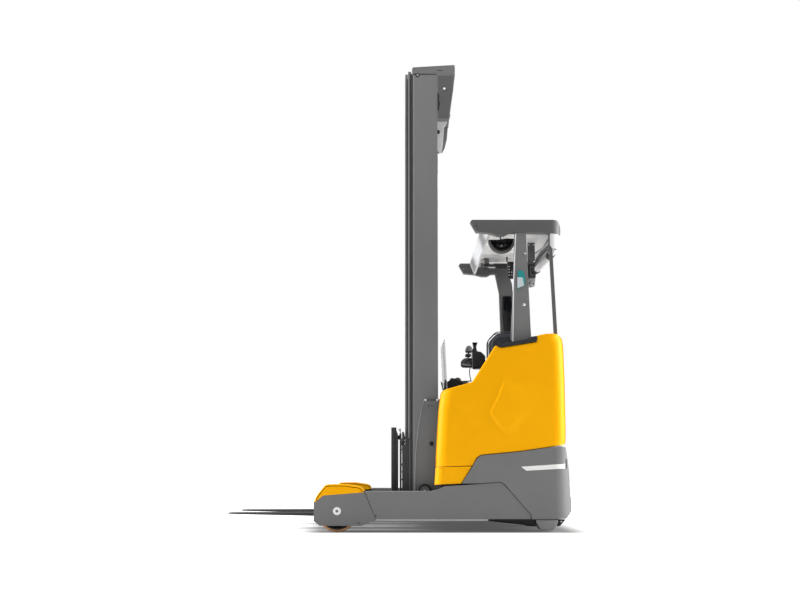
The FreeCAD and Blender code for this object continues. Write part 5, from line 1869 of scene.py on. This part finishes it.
@dataclass
class Mast:
    """Dress of the mast: rail lips, yoke, carriage plates, rollers, chains, sheaves and hoses."""

    side: float = 425.0
    plate_side: float = 442.0
    roller_at: tuple = (200.5, -489.0, 275.0)

    def lips(self) -> None:
        """Painted highlight on a lip and a near black strip of grease and painted shade down the front of
        each stage's rails.
        """
        outer = [block((123.5, -425.7, 104), (130, -420, 3284), 0.6, 2),
            block((115.2, -425.4, 104), (121.5, -420, 3284), 0.4, 1, Y, 1)]
        SHOP.make("outer_rail_lips", "reach_carriage", both(outer), [HIGHLIGHT_GREY, GREASE_AND_SHADE])
        middle = [block((101, -363.5, 110), (113.5, -359, 3326), 0.4, 2, Y, 1),
            block((86.2, -363.6, 110), (92.5, -359, 3326), 0.6, 2), block((86, -363, 3326),
            (110, -346, 3346), 3, 3, Y, 2)]
        SHOP.make("middle_rail_lips", "middle_mast", both(middle), [HIGHLIGHT_GREY, GREASE_AND_SHADE, RAIL], (),
            40)
        inner = [block((76, -301.5, 115), (85, -297, 3322), 0.4, 2, Y, 1),
            block((65.2, -301.6, 115), (70.5, -297, 3322), 0.6, 2), block((65, -301, 3322),
            (85, -284, 3359), 3, 3, Y, 2)]
        SHOP.make("inner_rail_lips", "inner_mast", both(inner), [HIGHLIGHT_GREY, GREASE_AND_SHADE, RAIL])

    def yoke(self) -> None:
        """Yoke's cap, a darker skin of painted shade on its cheek with a flange, slot, screws, sheave shroud
        and hose bracket.
        """
        s = self.side
        cap = slab([(116, 3305, 2), (420, 3298, 2), (427, 3318, 10), (425, 3342, 8), (270, 3341, 2),
            (116, 3329, 3)], Y, -s - 0.9, -s + 3, 0.8, 0)
        # Painted shade: a darker skin over the near cheek.
        painted_shade_skin = slab([(298, 3281, 3), (413, 3283, 3), (408, 3180, 30), (385, 2998, 30), (378, 2962, 4),
            (298, 2962, 3)], Y, -s - 0.7, -s + 3, 0.6, 1)
        flange = slab([(298, 2961, 2), (378, 2961, 3), (385, 2976, 2), (391, 2992, 2), (394, 2990, 2),
            (388, 2964, 4), (379, 2946, 5), (298, 2946, 2)], Y, -s - 1.0, -s + 3, 0.8, 0)
        slot = slab([(294, 3317, 3), (336, 3318, 3), (336, 3323, 3), (294, 3322, 3)], Y, -s - 1.3, -s + 2,
            0.3, 2)
        line = slab([(118, 3288, 1), (292, 3288, 1), (292, 3294, 1), (118, 3296, 1)], Y, -s - 0.6, -s + 2,
            0.3, 2)
        seat = (155, -s, 3285)
        ring = [lathe([(15, 2), (15, -1.6), (13.5, -2.4), (9, -2.4), (8, -1)], Y, seat, 32, 2),
            lathe([(8, 1), (8, -1.6), (6.5, -2.2), (1, -2.2)], Y, seat, 6, 3)]
        star = bolts([(349, -s - 0.6, 3184)], Y, -1, 8, 4)
        dot = lathe([(4, 1), (4, -1.8), (1, -2)], Y, (361, -s - 0.5, 3172), 12, 2)
        shroud = slab([(299, 3152, 4), (307, 3148, 8), (314, 3130, 6), (311, 3100, 8), (318, 3072, 6),
            (312, 3040, 6), (309, 3018, 4), (299, 3018, 3)], Y, -s - 1.4, -s + 2, 0.8, 2)
        strip = block((299, -s - 1.1, 2950), (303, -s + 2, 3290), 0.6, 1)
        parts = both([cap, slot, line] + ring) + [painted_shade_skin, flange, dot, shroud, strip] + star
        SHOP.make("yoke_fittings", "reach_carriage", parts,
            [GREY, SHADED_GREY, GREASE_AND_SHADE, ZINC, WHITE])
        bracket = slab([(300, 3288, 4), (411, 3288, 8), (401, 3259, 10), (386, 3240, 20), (375, 3098, 10),
            (366, 3040, 8), (356, 3010, 8), (334, 3040, 10), (300, 3062, 4)], Y, 297, 303, 1.5, 0)
        eye = lathe([(17, 4), (17, -4), (15, -5), (1, -5)], Y, (335, 297, 3197), 24, 1)
        post = [block((324, 296, 2842), (336, 304, 3010), 2, 3, Y),
            block((324, 296, 2560), (334, 304, 2740), 2, 3, Y), block((298, 297, 2852), (326, 303, 2868),
            1.5, 2, Y), block((298, 297, 2700), (326, 303, 2716), 1.5, 2, Y)]
        SHOP.make("yoke_hose_bracket", "reach_carriage", [bracket, eye] + post,
            [PALE_AND_LIT_GREY, GREASE_AND_SHADE])

    def plates(self) -> None:
        """Painted highlight along the edge, top seam, screws and plugged hole of each reach carriage plate.
        """
        y = -self.plate_side
        edge = tube([(201.5, y - 0.4, 917), (176.5, y - 0.4, 843), (155.5, y - 0.4, 702),
            (140.5, y - 0.4, 561), (133.8, y - 0.4, 421), (133.8, y - 0.4, 250)], 2.6, (0, 1, 0), 0, 2, 8)
        seam = block((206, y - 0.5, 911), (300, y + 3, 917), 0.3, 1, Y, 1)
        screws = [lathe([(8, 2), (8, -1.6), (6, -2.6), (1, -2.6)], Y, (x, y, 914), 18, 2)
            for x in (208, 292)]
        faint = bolts([(252, y, 872), (228, y, 874)], Y, -1, 6, 3)
        plug = [lathe([(15, 2), (15, -1), (13, -1.8), (1, -1.8)], Y, (250.5, y, 605.5), 32, 1)]
        SHOP.make("carriage_plate_fittings", "reach_carriage",
            both([edge, seam] + screws + faint + plug), [HIGHLIGHT_GREY, HOSE, WHITE, SHADED_GREY])

    def rollers(self) -> None:
        """Guide roller on each side: rubbered rim, grey disc, bright bore and axle cap."""
        x, y, z = self.roller_at
        deep = 40.0
        tyre = [(33, 1), (46, 1), (49, 4), (49, deep - 4), (46, deep - 1), (33, deep - 1)]
        disc = [(1, 1.2), (12, 1.2), (13, 4), (26, 4), (28, 1), (33.2, 1), (33.2, deep - 2), (14, deep - 2),
            (14, 46), (1, 46)]
        parts = [lathe(tyre, Y, (x, y, z), 56, 0, ring=True), lathe(disc, Y, (x, y, z), 48, 1),
            lathe([(9, 2), (9, 0.2), (6, -0.2), (1, -0.2)], Y, (x, y + 0.4, z), 24, 2)]
        SHOP.make("guide_roller_details", "reach_carriage", both(parts), [HOSE, GREY, ZINC],
            ["guide_rollers"], 40)

    def chains(self) -> None:
        """Free lift chains over two sheaves on the rod's head, their anchors, and the head's yoke plates."""
        head = 1700.0
        fittings = []
        for y in (-60.0, 60.0):
            groove = [(10, -12), (36, -12), (38, -10), (33, -8), (33, 8), (38, 10), (36, 12), (10, 12)]
            fittings.append(lathe(groove, Y, (120, y, head), 44, 0, ring=True))
            fittings.append(lathe([(10, -16), (10, 16)], Y, (120, y, head), 24, 1))
            cheek = [(104, head - 18, 8), (160, head - 14, 4), (160, head + 14, 4), (104, head + 18, 8)]
            fittings += [slab(cheek, Y, low, low + 5, 1, 2) for low in (y + 13, y - 18)]
        SHOP.make("rod_head_sheaves", "free_lift_rod", fittings, [FORGED, GROUND, RAIL], (),
            40)
        for name, x, body, low in (("rear", 158.0, "inner_mast", 760.0),
                ("front", 82.0, "lift_carriage", 200.0)):
            links = chain(x, -60, low, head) + chain(x, 60, low, head)
            strand = SHOP.make(f"{name}_lift_chains", "free_lift_rod", links, [CHAIN], (), 30)
            strand.parent = None
            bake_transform(strand)
        ends = [tube([(82, y, 150), (82, y, 240)], 7, (0, 1, 0), 0, 1, 16) for y in (-60, 60)]
        nuts = [lathe([(13, -6), (13, 6)], Z, (82, y, z), 6, 1) for y in (-60, 60) for z in (206, 220)]
        SHOP.make("chain_anchor_bolts", "lift_carriage", ends + nuts, [ZINC, GROUND], (),
            40)

    def hoses(self) -> None:
        """Hose pairs with clamps inside the outer rails."""
        parts = []
        for y in (-250.0, -228.0, 228.0, 250.0):
            parts.append(tube([(284, y, 300), (284, y, 1200), (284, y, 2400), (284, y, 3150),
                (270, y * 0.9, 3230)], 8.5, (0, 1, 0), 0, 2, 12))
        for z in (700, 1300, 1900, 2500):
            for y in (-239.0, 239.0):
                parts.append(block((272, y - 26, z), (296, y + 26, z + 22), 3, 6, Z, 1))
        SHOP.make("mast_hoses", "reach_carriage", parts, [HOSE, TRIM])

    def build(self) -> None:
        """All of the mast's dress."""
        self.lips()
        self.yoke()
        self.plates()
        self.rollers()
        self.chains()
        self.hoses()


@dataclass
class CarriageFittings:
    """Side plates, knobs, hose ends and clips round the fork carriage."""

    def plates(self) -> None:
        """Deep black side plate of the shift frame, and a black plate in front of the rail as painted shade
        on the rails' lower part.
        """
        shift = [slab([(27, 112, 2), (36, 112, 2), (36, 640, 3), (34, 646, 4), (33, 700, 4), (27, 700, 4)],
            Y, -334, -322, 2, 0)]
        knobs = [lathe([(9, -14), (10, -12), (10, 12), (9, 14)], Y, (27, -318, 710), 20, 1)]
        SHOP.make("shift_side_plates", "side_shift", both(shift + knobs), [FORGED, ZINC], (),
            40)
        # Painted shade: a black plate over the rails' lower part, with a grey line.
        shade_plate = [slab([(66, 112, 2), (112, 112, 2), (112, 640, 6), (84, 648, 6), (80, 690, 4), (66, 690, 4)],
            Y, -372, -365, 1.5, 0), block((96, -372.6, 114), (100, -370, 640), 0.4, 1, Y, 1)]
        web = [block((48, -371, 130), (66, -345, 600), 1.5, 2)]
        SHOP.make("carriage_painted_shade_plates", "lift_carriage", both(shade_plate + web), [FORGED, RAIL])

    def hoses(self) -> None:
        """Clips and hose ends that bridge the gap behind the shift frame on each side."""
        parts = []
        for z, tall in ((452, 16), (404, 10), (596, 52), (560, 14), (348, 10)):
            parts.append(block((40, -330, z), (60, -318, z + tall), 2, 3, Y))
        parts.append(tube([(44, -326, 600), (52, -326, 660), (46, -326, 700), (56, -326, 676),
            (60, -326, 640)], 5, (0, 1, 0), 1, 3, 10))
        heads = bolts([(50, -330, 480), (50, -330, 430)], Y, -1, 5, 2)
        SHOP.make("carriage_hose_clips", "lift_carriage", both(parts + heads),
            [FORGED, HOSE, ZINC])

    def build(self) -> None:
        """Plates and hoses."""
        self.plates()
        self.hoses()


# ---- base

@dataclass
class WheelCovers:
    """Yellow pressed cover over each load wheel."""

    axle_x: float = -395.5
    outer: float = 633.0
    inner: float = 491.0
    top: tuple = ((-155, 207), (-142, 244), (-84, 317), (-68, 323), (54, 324), (87, 318), (160, 308),
        (182, 279))
    foot: tuple = ((184, 273), (-91, 252), (-138, 214))
    wall: float = 5.0

    def skin(self) -> Shell:
        """Top of the cover: rounded shoulders across, carried along its eased top line.

        Returns:
            Outer and inner grids. Each point is the line's point less its normal times the shoulder's depth.
        """
        line = eased([(self.axle_x + x, z) for x, z in self.top], 1)
        run = np.gradient(line, axis=0)
        run /= np.linalg.norm(run, axis=1)[:, None]
        normal = np.column_stack([-run[:, 1], run[:, 0]])
        angle = np.linspace(0, math.pi / 2, 7)
        radius = 9.0
        round_in, round_down = radius * (1 - np.cos(angle)), radius * (1 - np.sin(angle))
        y = np.concatenate([-self.outer + round_in, np.linspace(-self.outer + 20, -self.inner - 20, 9),
            -self.inner - round_in[::-1]])
        depth = np.concatenate([round_down, np.zeros(9), round_down[::-1]])
        grids = []
        for extra in (0.0, self.wall):
            grid = np.empty((len(line), len(y), 3))
            grid[..., 0] = line[:, None, 0] - normal[:, None, 0] * (depth + extra)
            grid[..., 1] = y
            grid[..., 2] = line[:, None, 1] - normal[:, None, 1] * (depth + extra)
            grids.append(grid)
        return crust(grids[0], grids[1])

    def side(self, low: float, high: float) -> Shell:
        """Side plate under the skin: the cover's outline set in, and its foot let down into the arm."""
        foot = [(x, z - 10) for x, z in self.foot]
        outline = inset(rounded([(self.axle_x + x, z) for x, z in list(self.top) + foot], 4), 6)
        return slab(outline, Y, low, high, 0.4)

    def build(self) -> None:
        """Both covers, in place of their node."""
        parts = [self.skin(), self.side(-self.outer, -self.outer + self.wall),
            self.side(-self.inner - self.wall, -self.inner)]
        SHOP.make("wheel_cover_skins", "chassis", both(parts), [YELLOW], ["wheel_covers"],
            40)


@dataclass
class Underside:
    """Stabiliser pods with their skids, castors and brackets, and a dark rubbing strip along each arm."""

    def build(self) -> None:
        """Pod, skid and bracket on each side, in place of the stabilisers' node."""
        # The pods take the pale grey painted for the floor's reflection.
        pod = slab([(957, 84, 2), (957, 72, 4), (970, 42, 8), (991, 11, 8), (1080, 11, 8), (1101, 40, 6),
            (1110, 62, 6), (1108, 84, 3)], Y, -560, -440, 5, 0)
        top = block((920, -566, 82), (1094, -440, 92), 1, 1, Y, 1)
        skid = slab([(632, 84, 2), (632, 72, 3), (873, 47, 30), (944, 35, 6), (957, 34, 3), (957, 84, 2)],
            Y, -566, -240, 5, 1)
        wheel = lathe([(8, -30), (21, -30), (24, -26), (24, 26), (21, 30), (8, 30)], Y, (1035, -500, 38),
            36, 1, ring=True)
        wing = slab([(1108, 84, 2), (1103, 60, 4), (1101, 34, 4), (1123, 38, 6), (1160, 78, 3),
            (1160, 84, 1)], Y, -556, -546, 1.5, 1)
        boss = lathe([(6, 3), (6, -1), (4, -2), (1, -2)], Y, (1132, -556, 68), 16, 2)
        rub = block((626, -632.8, 81), (934, -612, 90), 1.5, 1, Y, 1)
        parts = [pod, top, skid, wheel, wing, boss, rub]
        SHOP.make("stabiliser_pods", "chassis", both(parts), [FLOOR_REFLECTION_GREY, HOSE, ZINC],
            ["stabilisers"], 40)


@dataclass
class Battery:
    """Steel battery tray with its cells, cable and lifting eyes, and the handles of the hood over it."""

    rows: int = 6

    def tray(self) -> None:
        """Welded tray: plain walls, a rim, lifting eyes, a cable, and rows of cell lids with plugs."""
        low, high = limits("battery")
        wall = 6.0
        parts = [block(low, (high[0], high[1], high[2] - 30), 3, 6, Z)]
        (a, c), (b, d) = low[:2] + 8, high[:2] - 8
        line = lift(np.array([(a, c), (b, c), (b, d), (a, d)]), Z, high[2] - 16)
        parts.append(sweep(line, oblong(12, 30, 2), (0, 0, 1), closed=True))
        for y in np.linspace(low[1] + 80, high[1] - 80, self.rows):
            for x in np.linspace(low[0] + 50, high[0] - 50, 4):
                parts.append(block((x - 28, y - 60, high[2] - 34), (x + 28, y + 60, high[2] - 18), 3, 6, Z,
                    1))
                parts.append(lathe([(11, 0), (12, 2), (12, 8), (9, 11), (1, 11)], Z,
                    (x, y - 20, high[2] - 18), 20, 2))
                parts.append(lathe([(7, 0), (7, 6), (5, 8), (1, 8)], Z, (x, y + 34, high[2] - 18), 16, 3))
        cable = tube([(low[0] + 60, low[1] + 70, high[2] - 6), (low[0] + 60, low[1] + 40, high[2] - 2),
            (low[0] + 120, low[1] + 22, high[2] - 4), (high[0] - 30, low[1] + 22, high[2] - 8)], 6,
            (0, 0, 1), 2, 3, 12)
        parts.append(cable)
        for x in (low[0] + wall, high[0] - wall):
            for y in (low[1] + 120, high[1] - 120):
                parts.append(lathe([(9, -3), (16, -3), (16, 3), (9, 3)], X, (x, y, high[2] - 16), 24, 3,
                    ring=True))
        SHOP.make("battery_tray", "chassis", parts, [TRAY, SOFT_TRIM, TRIM, ZINC],
            ["battery"], 40)

    def hood(self) -> None:
        """Two handles on the hood's top."""
        low, high = limits("battery_hood")
        middle = (low + high) / 2
        grip = [tube([(middle[0] - 40, y, high[2] - 30), (middle[0] - 40, y, high[2] - 6),
            (middle[0] + 40, y, high[2] - 6), (middle[0] + 40, y, high[2] - 30)], 6, (0, 1, 0), 0, 3, 12)
            for y in (-120, 120)]
        SHOP.make("hood_handles", "chassis", grip, [SOFT_TRIM])

    def build(self) -> None:
        """Tray and hood."""
        self.tray()
        self.hood()


@dataclass
class Drive:
    """Drive motor's ribbed casting."""

    def build(self) -> None:
        """Motor can with fins and an end bell, and three terminal studs."""
        low, high = limits("drive_motor")
        middle = (low + high) / 2
        x, y, r = middle[0], middle[1], (high[0] - low[0]) / 2
        heights = np.linspace(low[2] + 14, high[2] - 50, 60)
        ribbed = r - 2.5 + 2.5 * smooth_step(np.cos((heights - low[2]) * 2 * math.pi / 12) + 0.5)
        profile = [(r - 6, low[2]), (r - 1, low[2] + 2), (r - 1, low[2] + 12)]
        profile += list(zip(ribbed, heights))
        profile += [(r - 2, high[2] - 44), (r - 4, high[2] - 26), (r - 16, high[2] - 8),
            (r - 30, high[2] - 1), (1, high[2])]
        can = lathe(profile, Z, (x, y, 0), 64, 0)
        studs = [lathe([(6, 0), (6, 14), (4, 16), (1, 16)], X, (x + r - 3, y + k, high[2] - 60), 16,
            1).moved(-10) for k in (-26, 0, 26)]
        SHOP.make("drive_motor_casting", "chassis", [can] + studs, [FORGED, ZINC],
            ["drive_motor"], 40)


def main() -> None:
    """Builds the studio and each sub-assembly in order, and reports them."""
    logging.basicConfig(level=logging.INFO, format="%(name)s %(message)s")
    Studio().build()
    for piece in (BodyPanels(), RearCover(), RunningGear(), Forks(), Guard(), Seat(), Controls(), Mast(),
            CarriageFittings(), WheelCovers(), Underside(), Battery(), Drive()):
        piece.build()
    for node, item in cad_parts.items():
        if not item.hide_render:
            SHOP.dress(node, NODE_FINISH.get(node, GREY))


if __name__ == "__main__":
    main()
